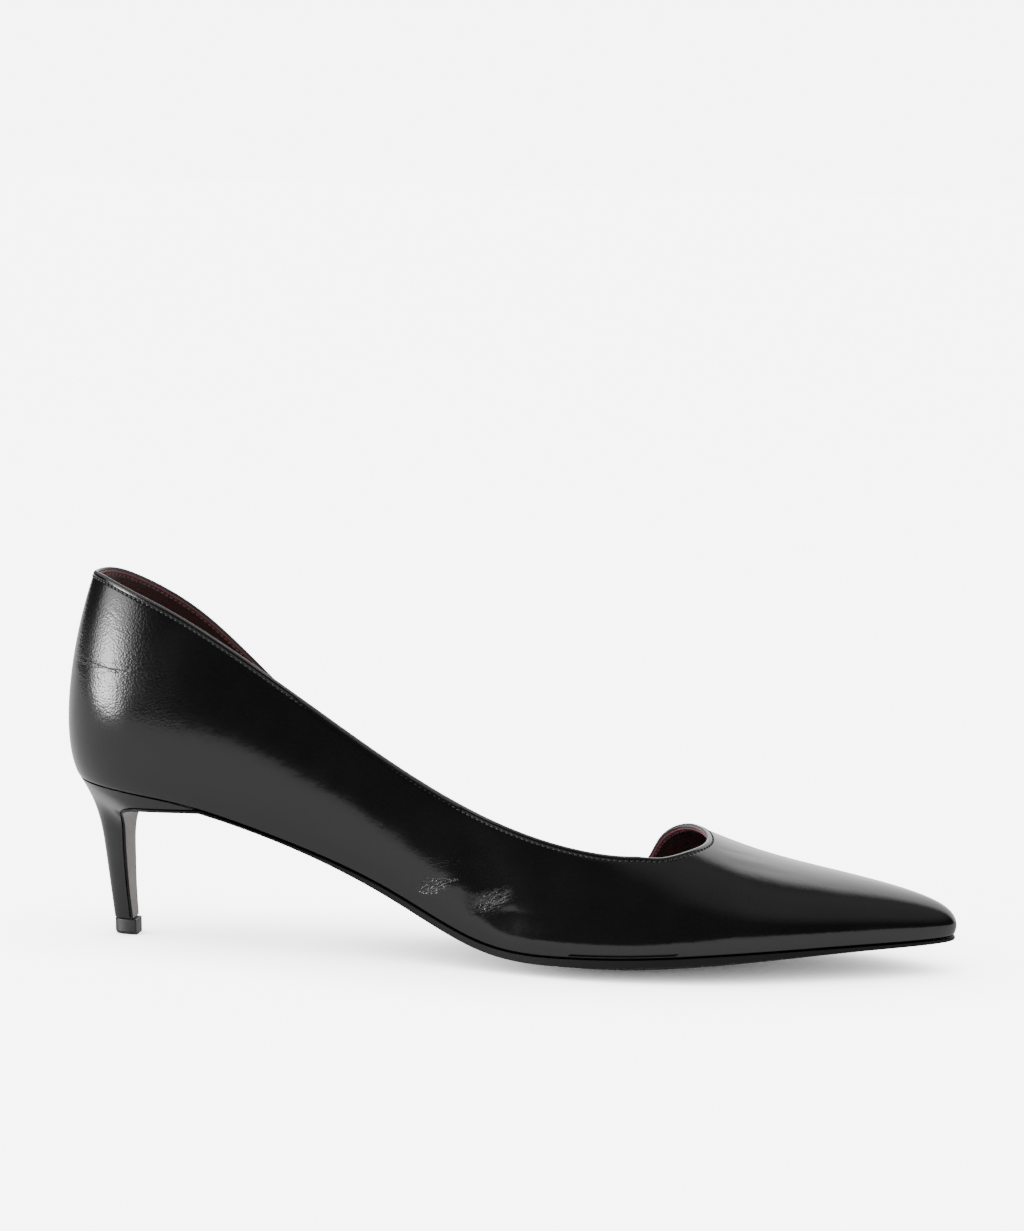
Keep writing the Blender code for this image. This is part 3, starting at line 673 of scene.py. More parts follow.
def clean_mesh(mesh):
    """Merge doubled points, as at the toe tip, and turn every face outward."""
    body = bmesh.new()
    body.from_mesh(mesh)
    bmesh.ops.remove_doubles(body, verts=body.verts, dist=0.02 * MM)
    bmesh.ops.dissolve_degenerate(body, edges=body.edges, dist=0.01 * MM)
    bmesh.ops.recalc_face_normals(body, faces=body.faces)
    body.to_mesh(mesh)
    body.free()


def soften(piece, width, angle):
    """Rounded edges by a live bevel."""
    bevel = piece.modifiers.new("edge rounding", "BEVEL")
    bevel.width = width * MM
    bevel.segments = 3
    bevel.limit_method = "ANGLE"
    bevel.angle_limit = math.radians(angle)
    bevel.harden_normals = True


SOCK_STATIONS = 141
ACROSS_SOCK = 33
SOCK_SPREAD = 0.25        # how far it reaches past the insole's edge


def make_sock(material):
    """The sock over the insole."""
    stations = np.linspace(0.0, LAST_RIB, SOCK_STATIONS)
    shares = np.sin(np.linspace(-0.5, 0.5, ACROSS_SOCK) * np.pi)
    inset = -(UPPER_WALL + INSOLE_INSET - SOCK_SPREAD)
    low = bottom_rows(stations, inset, UPPER_WALL + SEAM_GAP, shares)
    high = low + np.array([0.0, 0.0, INSOLE_THICKNESS])
    return slab("sock", high, low, material, "insole", bevel=0.4)


def seat_row(station, count):
    """Points across the heel's seat at a station, from outer to inner edge."""
    return bottom_rows([station], -HEEL_INSET, -SEAM_GAP, np.linspace(-1.0, 1.0, count))[0]


def column_outline(turns, front, length, half):
    """Rounded back of the heel's column: turns run from -90 at the outer corner to 90 inside."""
    angle = np.radians(turns)
    x = front - length * np.cos(angle) ** COLUMN_BACK_POWER
    y = half * np.sign(turns) * np.abs(np.sin(angle)) ** COLUMN_SIDE_POWER
    return x, y


HEEL_STATIONS = 37
ACROSS_HEEL = 25
HEEL_LEVELS = 61


def heel_loop():
    """Points round the heel's seat, outer front corner first, and the lift points below them."""
    tip = float(station_of(HEEL_FRONT_X))
    stations = np.linspace(tip, 0.0, HEEL_STATIONS)
    edges = [seat_row(station, ACROSS_HEEL) for station in stations]
    seat = [edge[0] for edge in edges] + [edge[-1] for edge in edges[-2::-1]]
    turns = np.concatenate([-90.0 * stations / tip, 90.0 * stations[-2::-1] / tip])
    half = 0.5 * LIFT_WIDTH - COLUMN_INSET
    x, y = column_outline(turns, COLUMN_FRONT, COLUMN_LENGTH, half)
    across = edges[0][-2:0:-1]
    reach = half / abs(edges[0][0][1])
    seat = np.concatenate([seat, across])
    x = np.concatenate([x, np.full(len(across), COLUMN_FRONT)])
    y = np.concatenate([y, np.clip(across[:, 1] * reach, -half, half)])
    foot = np.stack([x, y, np.full(len(x), LIFT_HEIGHT + SEAM_GAP)], -1)
    return seat, foot, stations


def seat_half_width(seat, x):
    """Y of the seat's edge at each x of the outer side's and the inner side's columns."""
    back, front = HEEL_STATIONS - 1, 2 * HEEL_STATIONS - 2
    outer = np.interp(-x[:back + 1], -seat[:back + 1, 0], seat[:back + 1, 1])
    inner = np.interp(-x[back + 1:front + 1], -seat[front:back:-1, 0], seat[front:back:-1, 1])
    across = seat[front + 1:, 1].copy()
    across[across > 0] *= inner[-1] / seat[front, 1]
    across[across < 0] *= outer[0] / seat[0, 1]
    return np.concatenate([outer, inner, across])


def heel_surface():
    """Rows of the heel's side and breast, from the seat down, each a closed loop."""
    seat, foot, stations = heel_loop()
    seat_back, foot_back = seat[:, 0].min(), foot[:, 0].min()
    seat_share = (seat[:, 0] - HEEL_FRONT_X) / (seat_back - HEEL_FRONT_X)
    foot_share = (foot[:, 0] - COLUMN_FRONT) / (foot_back - COLUMN_FRONT)
    table = np.array([row[1:] for row in HEEL_ROWS])
    knots = np.arange(len(table), dtype=float)
    levels = curve_through(knots, table, np.linspace(0.0, knots[-1], HEEL_LEVELS))
    rows = []
    for down, back, side, breast in np.clip(levels, 0.0, None):
        front_x = HEEL_FRONT_X + (COLUMN_FRONT - HEEL_FRONT_X) * breast
        back_x = seat_back + (foot_back - seat_back) * back
        share = seat_share + (foot_share - seat_share) * side
        edge_y = seat_half_width(seat, front_x + (seat_back - front_x) * seat_share)
        rows.append(np.stack([
            front_x + (back_x - front_x) * share,
            edge_y + (foot[:, 1] - edge_y) * side,
            seat[:, 2] + (foot[:, 2] - seat[:, 2]) * down,
        ], -1))
    return np.array(rows), stations


def make_heel(material):
    """The covered heel: a cup under the seat, side tongues and a slim column."""
    rows, stations = heel_surface()
    loop = rows.shape[1]
    points = [p for row in rows[::-1] for p in row]
    faces = []
    for j in range(len(rows) - 1):
        for i in range(loop):
            a, b = j * loop + i, j * loop + (i + 1) % loop
            faces.append((a, b, b + loop, a + loop))
    faces.append(tuple(range(loop)))
    cap_start = len(points)
    for station in stations:
        points.extend(seat_row(station, ACROSS_HEEL))
    for i in range(len(stations) - 1):
        for j in range(ACROSS_HEEL - 1):
            a = cap_start + i * ACROSS_HEEL + j
            faces.append((a, a + 1, a + 1 + ACROSS_HEEL, a + ACROSS_HEEL))
    piece = new_piece("heel_covering", points, faces, material, "heel")
    clean_mesh(piece.data)
    soften(piece, width=0.25, angle=40.0)
    return piece


def breast_rows():
    """Top and bottom faces of the flap, from the top lift up to the tongues' tips."""
    rows, stations = heel_surface()
    corner = 2 * len(stations) - 2
    loop = rows.shape[1]
    order = [0] + [loop - 1 - i for i in range(loop - corner - 1)] + [corner]
    front = rows[::-1][:, order]
    normal = np.cross(np.gradient(front, axis=1), np.gradient(front, axis=0))
    normal /= np.linalg.norm(normal, axis=2, keepdims=True)
    if normal[0, ACROSS_HEEL // 2, 0] < 0:
        normal = -normal
    high = front + normal * SEAM_GAP
    low = front + normal * (SEAM_GAP + FLAP_THICKNESS)
    high[0, :, 2] = LIFT_HEIGHT + SEAM_GAP
    low[0, :, 2] = LIFT_HEIGHT + SEAM_GAP
    return high[:-2], low[:-2]


SOLE_STATIONS = 121


def make_outsole(material):
    """Forepart and waist under the upper, then a thin flap down the breast of the heel."""
    start = float(station_of(HEEL_FRONT_X)) + FLAP_START
    stations = np.linspace(start, LAST_RIB, SOLE_STATIONS)
    shares = np.linspace(-1.0, 1.0, ACROSS_HEEL)
    high = bottom_rows(stations, SOLE_OVERHANG, -SEAM_GAP, shares)
    low = high.copy()
    low[..., 2] = np.maximum(low[..., 2] - rib(stations)["sole"][:, None], 0.0)
    breast_high, breast_low = breast_rows()
    high = np.concatenate([breast_high, high])
    low = np.concatenate([breast_low, low])
    piece = slab("outsole_leather", high, low, material, "outsole", bevel=0.3)
    mark_breast(piece.data)
    return piece


def mark_breast(mesh):
    """Mark the faces of the flap on the heel's breast, which look paler in the photo."""
    # These faces get a paler colour: a painted reflection of the bright surroundings on the glossy black
    # leather
    breast = mesh.attributes.new("breast", "FLOAT", "FACE")
    for face in mesh.polygons:
        breast.data[face.index].value = float(face.normal.x > 0.5 and face.center.x < HEEL_FRONT_X * MM)


# The top lift's outline at three heights: inset at each side, at the back, and past the front
LIFT_LEVELS = ((0.0, 0.7, 0.6, 0.3), (0.8, 0.0, 0.1, 0.1), (LIFT_HEIGHT, 0.0, 0.0, 0.0))


def make_top_lift(material):
    """The small plastic top lift under the heel, flat on the floor."""
    turns = np.linspace(-90.0, 90.0, HEEL_STATIONS)
    points = []
    for height, inset, back, front in LIFT_LEVELS:
        begin, end = LIFT_BACK + back, LIFT_BACK + LIFT_LENGTH + front
        x, y = column_outline(turns, end, end - begin, 0.5 * LIFT_WIDTH - inset)
        points.extend(zip(x, y, np.full(len(x), height)))
    count = len(turns)
    faces = [tuple(range(count)), tuple(range(2 * count, 3 * count))]
    for j in range(len(LIFT_LEVELS) - 1):
        for i in range(count):
            a, b = j * count + i, j * count + (i + 1) % count
            faces.append((a, b, b + count, a + count))
    piece = new_piece("top_lift_plastic", points, faces, material, "top_lift")
    clean_mesh(piece.data)
    soften(piece, width=0.3, angle=30.0)
    return piece


# Stitches

THREAD_SINK = 0.03        # the outer threads' centres lie this deep
THREAD_RISE = 0.05        # and the inner ones this far out of the wall's inner face


def stitch_seeds(settings, depth):
    """Stitch centres along the collar, depth below the outer face, with the seam's direction and
    the way the thread faces."""
    points, normals, distance, *_ = WALL
    down = np.full((len(points), 1), settings.stitch_distance / MM)
    line = read_columns(down, distance, points)[:, 0]
    facing = read_columns(down, distance, normals)[:, 0]
    closed = np.concatenate([line, line[:1]])
    facing = np.concatenate([facing, facing[:1]])
    step = np.linalg.norm(np.diff(closed, axis=0), axis=1)
    length = np.concatenate([[0.0], np.cumsum(step)])
    count = int(round(length[-1] / (settings.stitch_pitch / MM)))
    at = (np.arange(count) + 0.5) * length[-1] / count
    centre = np.stack([np.interp(at, length, closed[:, axis]) for axis in range(3)], 1)
    normal = np.stack([np.interp(at, length, facing[:, axis]) for axis in range(3)], 1)
    along = np.roll(centre, -1, 0) - np.roll(centre, 1, 0)
    along /= np.linalg.norm(along, axis=1, keepdims=True)
    normal /= np.linalg.norm(normal, axis=1, keepdims=True)
    if depth > 0.0:
        return centre - depth * normal, -along, -normal
    return centre - THREAD_SINK * normal, along, normal


def stitch_tree(material):
    """Geometry Nodes: one small slanted thread on each seed point, turned along the seam."""
    tree = bpy.data.node_groups.new("collar stitches", "GeometryNodeTree")
    face = tree.interface
    face.new_socket("Geometry", in_out="INPUT", socket_type="NodeSocketGeometry")
    sockets = {}
    for name in ("Stitch Length", "Thread Width", "Slant"):
        sockets[name] = face.new_socket(name, in_out="INPUT", socket_type="NodeSocketFloat")
    face.new_socket("Geometry", in_out="OUTPUT", socket_type="NodeSocketGeometry")
    node, link = tree.nodes.new, tree.links.new
    given, result = node("NodeGroupInput"), node("NodeGroupOutput")
    thread = node("GeometryNodeMeshUVSphere")
    thread.inputs["Segments"].default_value = 8
    thread.inputs["Rings"].default_value = 5
    thread.inputs["Radius"].default_value = 0.5
    size = node("ShaderNodeCombineXYZ")
    link(given.outputs["Stitch Length"], size.inputs["X"])
    link(given.outputs["Thread Width"], size.inputs["Y"])
    link(given.outputs["Thread Width"], size.inputs["Z"])
    shaped = node("GeometryNodeTransform")
    slant = node("ShaderNodeCombineXYZ")
    link(given.outputs["Slant"], slant.inputs["Z"])
    link(thread.outputs["Mesh"], shaped.inputs["Geometry"])
    link(size.outputs["Vector"], shaped.inputs["Scale"])
    turned = node("GeometryNodeTransform")
    link(shaped.outputs["Geometry"], turned.inputs["Geometry"])
    link(slant.outputs["Vector"], turned.inputs["Rotation"])
    along, up = node("GeometryNodeInputNamedAttribute"), node("GeometryNodeInputNamedAttribute")
    for attribute, name in ((along, "seam_along"), (up, "seam_normal")):
        attribute.data_type = "FLOAT_VECTOR"
        attribute.inputs["Name"].default_value = name
    axes = node("FunctionNodeAxesToRotation")
    axes.primary_axis, axes.secondary_axis = "X", "Z"
    link(along.outputs["Attribute"], axes.inputs["Primary Axis"])
    link(up.outputs["Attribute"], axes.inputs["Secondary Axis"])
    place = node("GeometryNodeInstanceOnPoints")
    link(given.outputs["Geometry"], place.inputs["Points"])
    link(turned.outputs["Geometry"], place.inputs["Instance"])
    link(axes.outputs["Rotation"], place.inputs["Rotation"])
    real = node("GeometryNodeRealizeInstances")
    finish = node("GeometryNodeSetMaterial")
    finish.inputs["Material"].default_value = material
    link(place.outputs["Instances"], real.inputs["Geometry"])
    link(real.outputs["Geometry"], finish.inputs["Geometry"])
    link(finish.outputs["Geometry"], result.inputs["Geometry"])
    return tree, sockets


def make_stitches(settings, name, depth, material):
    """One row of stitches round the collar, depth below the outer face."""
    centre, along, normal = stitch_seeds(settings, depth)
    mesh = bpy.data.meshes.new("stitch seeds")
    mesh.from_pydata((centre * MM).tolist(), [], [])
    for label, values in (("seam_along", along), ("seam_normal", normal)):
        attribute = mesh.attributes.new(label, "FLOAT_VECTOR", "POINT")
        attribute.data.foreach_set("vector", values.astype(np.float32).ravel())
    seeds = bpy.data.objects.new("stitch_seeds", mesh)
    bpy.context.scene.collection.objects.link(seeds)
    tree, sockets = stitch_tree(material)
    modifier = seeds.modifiers.new("stitches", "NODES")
    modifier.node_group = tree
    modifier[sockets["Stitch Length"].identifier] = settings.stitch_length
    modifier[sockets["Thread Width"].identifier] = settings.thread_width
    modifier[sockets["Slant"].identifier] = settings.stitch_slant
    evaluated = seeds.evaluated_get(bpy.context.evaluated_depsgraph_get())
    made = bpy.data.meshes.new_from_object(evaluated)
    bpy.data.objects.remove(seeds)
    made.name = name
    made.shade_smooth()
    piece = bpy.data.objects.new(name, made)
    bpy.context.scene.collection.objects.link(piece)
    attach(piece, BODY)
    return piece


# Materials

def new_group(name, inputs, outputs):
    """An empty shader node group with named sockets."""
    group = bpy.data.node_groups.new(name, "ShaderNodeTree")
    for label, kind, value in inputs:
        socket = group.interface.new_socket(label, in_out="INPUT", socket_type=kind)
        if value is not None:
            socket.default_value = value
    for label, kind in outputs:
        group.interface.new_socket(label, in_out="OUTPUT", socket_type=kind)
    return group, group.nodes.new("NodeGroupInput"), group.nodes.new("NodeGroupOutput")


def grain_group():
    """Leather grain as a height in millimetres: pebbles, a medium swell and a slow one."""
    made = bpy.data.node_groups.get("leather grain")
    if made:
        return made
    group, given, result = new_group(
        "leather grain",
        [("Vector", "NodeSocketVector", None), ("Pebble Size", "NodeSocketFloat", 0.5),
         ("Pebble Height", "NodeSocketFloat", 0.012), ("Medium Height", "NodeSocketFloat", 0.012),
         ("Slow Height", "NodeSocketFloat", 0.04)],
        [("Height", "NodeSocketFloat"), ("Shade", "NodeSocketFloat")])
    node, link = group.nodes.new, group.links.new
    to_mm = node("ShaderNodeVectorMath")
    to_mm.operation = "SCALE"
    to_mm.inputs["Scale"].default_value = 1000.0
    link(given.outputs["Vector"], to_mm.inputs[0])
    fine = node("ShaderNodeMath")
    fine.operation = "DIVIDE"
    fine.inputs[0].default_value = 1.0
    link(given.outputs["Pebble Size"], fine.inputs[1])
    pebbles = node("ShaderNodeTexVoronoi")
    pebbles.feature = "SMOOTH_F1"
    pebbles.inputs["Smoothness"].default_value = 0.6
    link(to_mm.outputs["Vector"], pebbles.inputs["Vector"])
    link(fine.outputs["Value"], pebbles.inputs["Scale"])
    total = None
    shade = None
    parts = [(pebbles.outputs["Distance"], "Pebble Height")]
    for size, socket in ((2.6, "Medium Height"), (11.0, "Slow Height")):
        swell = node("ShaderNodeTexNoise")
        swell.inputs["Scale"].default_value = 1.0 / size
        swell.inputs["Detail"].default_value = 1.5
        link(to_mm.outputs["Vector"], swell.inputs["Vector"])
        parts.append((swell.outputs["Fac"], socket))
        shade = swell.outputs["Fac"]
    for value, socket in parts:
        scaled = node("ShaderNodeMath")
        scaled.operation = "MULTIPLY_ADD"
        link(value, scaled.inputs[0])
        link(given.outputs[socket], scaled.inputs[1])
        scaled.inputs[2].default_value = 0.0
        if total:
            link(total, scaled.inputs[2])
        total = scaled.outputs["Value"]
    link(total, result.inputs["Height"])
    link(shade, result.inputs["Shade"])
    return group


def wrinkle_group():
    """Fine wrinkles as a height in millimetres: long troughs crossed by a short crumple."""
    group, given, result = new_group(
        "fine wrinkles",
        [("Place", "NodeSocketVector", None), ("Trough Depth", "NodeSocketFloat", 0.05),
         ("Crumple Depth", "NodeSocketFloat", 0.07)],
        [("Height", "NodeSocketFloat")])
    node, link = group.nodes.new, group.links.new

    def math_node(operation, first, second):
        made = node("ShaderNodeMath")
        made.operation = operation
        for socket, value in zip(made.inputs, (first, second)):
            if isinstance(value, float):
                socket.default_value = value
            elif value is not None:
                link(value, socket)
        return made.outputs["Value"]

    def stretched_noise(along, across, detail):
        turned = node("ShaderNodeVectorMath")
        turned.operation = "MULTIPLY"
        turned.inputs[1].default_value = (along, across, 0.0)
        link(given.outputs["Place"], turned.inputs[0])
        noise = node("ShaderNodeTexNoise")
        noise.inputs["Scale"].default_value = 1.0
        noise.inputs["Detail"].default_value = detail
        link(turned.outputs["Vector"], noise.inputs["Vector"])
        return noise.outputs["Fac"]

    split = node("ShaderNodeSeparateXYZ")
    link(given.outputs["Place"], split.inputs["Vector"])
    apart = math_node("ABSOLUTE", math_node("SUBTRACT", stretched_noise(0.1, 1.0, 2.0), 0.5), None)
    trough = node("ShaderNodeMapRange")
    trough.interpolation_type = "SMOOTHSTEP"
    trough.inputs["From Max"].default_value = 0.08
    trough.inputs["To Min"].default_value = -1.0
    trough.inputs["To Max"].default_value = 0.0
    link(apart, trough.inputs["Value"])
    long = math_node("MULTIPLY", trough.outputs["Result"], given.outputs["Trough Depth"])
    dash = node("ShaderNodeMapRange")
    dash.interpolation_type = "SMOOTHSTEP"
    dash.inputs["From Min"].default_value = 0.54
    dash.inputs["From Max"].default_value = 0.68
    link(stretched_noise(0.6, 1.7, 1.0), dash.inputs["Value"])
    short = math_node("MULTIPLY", dash.outputs["Result"], given.outputs["Crumple Depth"])
    height = math_node("MULTIPLY", math_node("ADD", long, short), split.outputs["Z"])
    link(height, result.inputs["Height"])
    return group


def principled(name, roughness, specular=0.5):
    """A new material and its shader."""
    material = bpy.data.materials.new(name)
    material.use_nodes = True
    nodes = material.node_tree.nodes
    shader = nodes["Principled BSDF"]
    shader.inputs["Roughness"].default_value = roughness
    shader.inputs["Specular IOR Level"].default_value = specular
    return material, shader


def grained(name, colour, darkest, roughness, roughness_span, pebble, heights, specular=0.5):
    """Leather: grain as a bump, and colour and gloss that change a little with it.

    The colour goes down to the darkest share of itself. The heights are those of the pebbles, the
    medium swell and the slow one, in millimetres."""
    material, shader = principled(name, roughness, specular)
    nodes, links = material.node_tree.nodes, material.node_tree.links
    place = nodes.new("ShaderNodeTexCoord")
    grain = nodes.new("ShaderNodeGroup")
    grain.name = grain.label = "grain"
    grain.node_tree = grain_group()
    grain.inputs["Pebble Size"].default_value = pebble
    for socket, height in zip(("Pebble Height", "Medium Height", "Slow Height"), heights):
        grain.inputs[socket].default_value = height
    links.new(place.outputs["Object"], grain.inputs["Vector"])
    bump = nodes.new("ShaderNodeBump")
    bump.name = bump.label = "relief"
    bump.inputs["Strength"].default_value = 1.0
    bump.inputs["Distance"].default_value = MM
    links.new(grain.outputs["Height"], bump.inputs["Height"])
    links.new(bump.outputs["Normal"], shader.inputs["Normal"])
    tint = nodes.new("ShaderNodeMix")
    tint.data_type = "RGBA"
    tint.name = tint.label = "tint"
    tint.inputs["A"].default_value = (*(darkest * value for value in colour), 1.0)
    tint.inputs["B"].default_value = (*colour, 1.0)
    links.new(grain.outputs["Shade"], tint.inputs["Factor"])
    links.new(tint.outputs["Result"], shader.inputs["Base Color"])
    gloss = nodes.new("ShaderNodeMapRange")
    gloss.inputs["From Min"].default_value = 0.3
    gloss.inputs["From Max"].default_value = 0.7
    gloss.inputs["To Min"].default_value = roughness
    gloss.inputs["To Max"].default_value = roughness + roughness_span
    links.new(grain.outputs["Shade"], gloss.inputs["Value"])
    links.new(gloss.outputs["Result"], shader.inputs["Roughness"])
    return material


def second_colour(material, attribute, colour, name):
    """Mix a second colour over the first by an attribute that goes from 0 to 1."""
    nodes, links = material.node_tree.nodes, material.node_tree.links
    shader = nodes["Principled BSDF"]
    first = shader.inputs["Base Color"].links[0].from_socket
    value = nodes.new("ShaderNodeAttribute")
    value.attribute_name = attribute
    mix = nodes.new("ShaderNodeMix")
    mix.data_type = "RGBA"
    mix.name = mix.label = name
    mix.inputs["B"].default_value = (*colour, 1.0)
    links.new(value.outputs["Fac"], mix.inputs["Factor"])
    links.new(first, mix.inputs["A"])
    links.new(mix.outputs["Result"], shader.inputs["Base Color"])


SMOOTH_PEBBLES = 0.005
GRAINY_PEBBLES = 0.06
GRAINY_ROUGHNESS = 0.12   # added where the leather is grainy


def upper_leather(colours):
    """Polished black calf with fine wrinkles where the leather bends."""
    material = grained("black calf leather", colours.calf, 0.6, roughness=0.11, roughness_span=0.04,
                       pebble=0.62, heights=(0.005, 0.02, 0.1))
    nodes, links = material.node_tree.nodes, material.node_tree.links
    share = nodes.new("ShaderNodeAttribute")
    share.attribute_name = "grain_share"
    pebble = nodes.new("ShaderNodeMapRange")
    pebble.inputs["To Min"].default_value = SMOOTH_PEBBLES
    pebble.inputs["To Max"].default_value = GRAINY_PEBBLES
    rough = nodes.new("ShaderNodeMath")
    rough.operation = "MULTIPLY_ADD"
    rough.inputs[1].default_value = GRAINY_ROUGHNESS
    shader = nodes["Principled BSDF"]
    links.new(share.outputs["Fac"], pebble.inputs["Value"])
    links.new(pebble.outputs["Result"], nodes["grain"].inputs["Pebble Height"])
    links.new(share.outputs["Fac"], rough.inputs[0])
    links.new(shader.inputs["Roughness"].links[0].from_socket, rough.inputs[2])
    links.new(rough.outputs["Value"], shader.inputs["Roughness"])
    place = nodes.new("ShaderNodeAttribute")
    place.attribute_name = "wrinkle_place"
    fine = nodes.new("ShaderNodeGroup")
    fine.name = fine.label = "wrinkles"
    fine.node_tree = wrinkle_group()
    total = nodes.new("ShaderNodeMath")
    total.operation = "ADD"
    links.new(place.outputs["Vector"], fine.inputs["Place"])
    links.new(nodes["grain"].outputs["Height"], total.inputs[0])
    links.new(fine.outputs["Height"], total.inputs[1])
    links.new(total.outputs["Value"], nodes["relief"].inputs["Height"])
    # The fold's rim gets a lighter colour: a painted highlight, strongest at the throat
    second_colour(material, "rim", colours.rim_highlight, "painted rim highlight")
    return material


def heel_leather(colours):
    """The heel's covering, cut from the same calf."""
    return grained("black heel covering", colours.calf, 0.6, roughness=0.17, roughness_span=0.06,
                   pebble=0.5, heights=(0.008, 0.008, 0.02))


def sole_leather(colours):
    """Black sole leather, with a painted reflection as a paler colour on the heel's breast."""
    material = grained("sole leather", colours.sole, 0.5, roughness=0.42, roughness_span=0.1,
                       pebble=0.4, heights=(0.01, 0.015, 0.03), specular=0.15)
    second_colour(material, "breast", colours.breast_reflection, "painted breast reflection")
    return material


def lift_plastic(colours):
    """Moulded top lift."""
    return grained("black top lift plastic", colours.top_lift, 0.667, roughness=0.4, roughness_span=0.1,
                   pebble=0.25, heights=(0.004, 0.004, 0.01))


def lining_leather(colours):
    """Dark burgundy lining whose folded top margin is red, laid on more strongly toward the throat as
    painted light.
    """
    material = grained("burgundy lining leather", colours.lining, 0.65, roughness=0.3, roughness_span=0.14,
                       pebble=0.7, heights=(0.035, 0.03, 0.05))
    second_colour(material, "margin", colours.lining_margin, "red margin")
    return material


def thread(name, colour, darkest, roughness):
    """Waxed thread."""
    return grained(name, colour, darkest, roughness, roughness_span=0.1, pebble=0.12,
                   heights=(0.006, 0.0, 0.0))


FLOOR_SHADE = 0.9
CONTACT_SHADOW = 0.05     # metres over which the floor darkens near the shoe


def floor_material(settings):
    """Plain pale floor. The camera sees it lifted close to white, with a soft contact shadow."""
    material, shader = principled("pale floor", roughness=0.9, specular=0.0)
    nodes, links = material.node_tree.nodes, material.node_tree.links
    shader.inputs["Base Color"].default_value = (FLOOR_SHADE, FLOOR_SHADE, FLOOR_SHADE, 1.0)
    rays = nodes.new("ShaderNodeLightPath")
    near = nodes.new("ShaderNodeAmbientOcclusion")
    near.samples = 8
    near.inputs["Distance"].default_value = CONTACT_SHADOW
    lift = nodes.new("ShaderNodeMath")
    lift.operation = "MULTIPLY"
    links.new(rays.outputs["Is Camera Ray"], lift.inputs[0])
    links.new(near.outputs["AO"], lift.inputs[1])
    strength = nodes.new("ShaderNodeMath")
    strength.operation = "MULTIPLY"
    strength.inputs[1].default_value = settings.floor_lift
    links.new(lift.outputs["Value"], strength.inputs[0])
    shader.inputs["Emission Color"].default_value = (1.0, 1.0, 1.0, 1.0)
    links.new(strength.outputs["Value"], shader.inputs["Emission Strength"])
    return material


# Studio

FLOOR_REACH = 6.0
PANEL_PLACE = (0.1, -0.35)


def make_studio(settings):
    """Pale floor, soft lights, even surroundings and the camera at the photo's angle."""
    mesh = bpy.data.meshes.new("floor")
    corners = [(x * FLOOR_REACH, y * FLOOR_REACH, 0.0) for x, y in ((-1, -1), (1, -1), (1, 1), (-1, 1))]
    mesh.from_pydata(corners, [], [(0, 1, 2, 3)])
    mesh.materials.append(floor_material(settings))
    floor = bpy.data.objects.new("floor", mesh)
    bpy.context.scene.collection.objects.link(floor)
    make_surroundings(settings)
    make_light(settings)
    make_camera(settings)


# Soft glows of the studio seen in the shoe's gloss: azimuth from the camera side toward the toe,
# elevation, angle of the full core, angle where it ends, and brightness
GLOWS = (
    ("backdrop", 163.0, 16.0, 25.0, 41.0, 2.0),
    ("toe side", 90.0, 58.0, 12.0, 50.0, 0.4),
    ("counter core", -63.0, 3.0, 5.0, 17.0, 34.0),
    ("counter", -64.0, 17.0, 12.0, 31.0, 5.5),
)


def make_light(settings):
    """A broad soft panel overhead, for the floor and the inside of the shoe."""
    data = bpy.data.lights.new("overhead panel", "AREA")
    data.shape = "RECTANGLE"
    data.size, data.size_y = settings.panel_width, settings.panel_depth
    data.energy = settings.panel_brightness * math.pi * data.size * data.size_y
    lamp = bpy.data.objects.new("overhead_panel", data)
    bpy.context.scene.collection.objects.link(lamp)
    lamp.location = (*PANEL_PLACE, settings.panel_height)
    lamp.rotation_mode = "QUATERNION"
    lamp.rotation_quaternion = (-Vector(lamp.location)).to_track_quat("-Z", "Y")
    lamp.visible_camera = False
    lamp.visible_glossy = False


def toward(azimuth, elevation):
    """Direction at an angle from the camera side toward the toe, and at an angle up."""
    return (math.sin(azimuth) * math.cos(elevation), -math.cos(azimuth) * math.cos(elevation),
            math.sin(elevation))


def glow(tree, direction, azimuth, elevation, core, reach, brightness):
    """Brightness of one soft glow for a direction, as a socket."""
    nearness = tree.nodes.new("ShaderNodeVectorMath")
    nearness.operation = "DOT_PRODUCT"
    nearness.inputs[1].default_value = toward(math.radians(azimuth), math.radians(elevation))
    tree.links.new(direction, nearness.inputs[0])
    fall = tree.nodes.new("ShaderNodeMapRange")
    fall.interpolation_type = "SMOOTHSTEP"
    fall.inputs["From Min"].default_value = math.cos(math.radians(reach))
    fall.inputs["From Max"].default_value = math.cos(math.radians(core))
    fall.inputs["To Max"].default_value = brightness
    tree.links.new(nearness.outputs["Value"], fall.inputs["Value"])
    return fall.outputs["Result"]


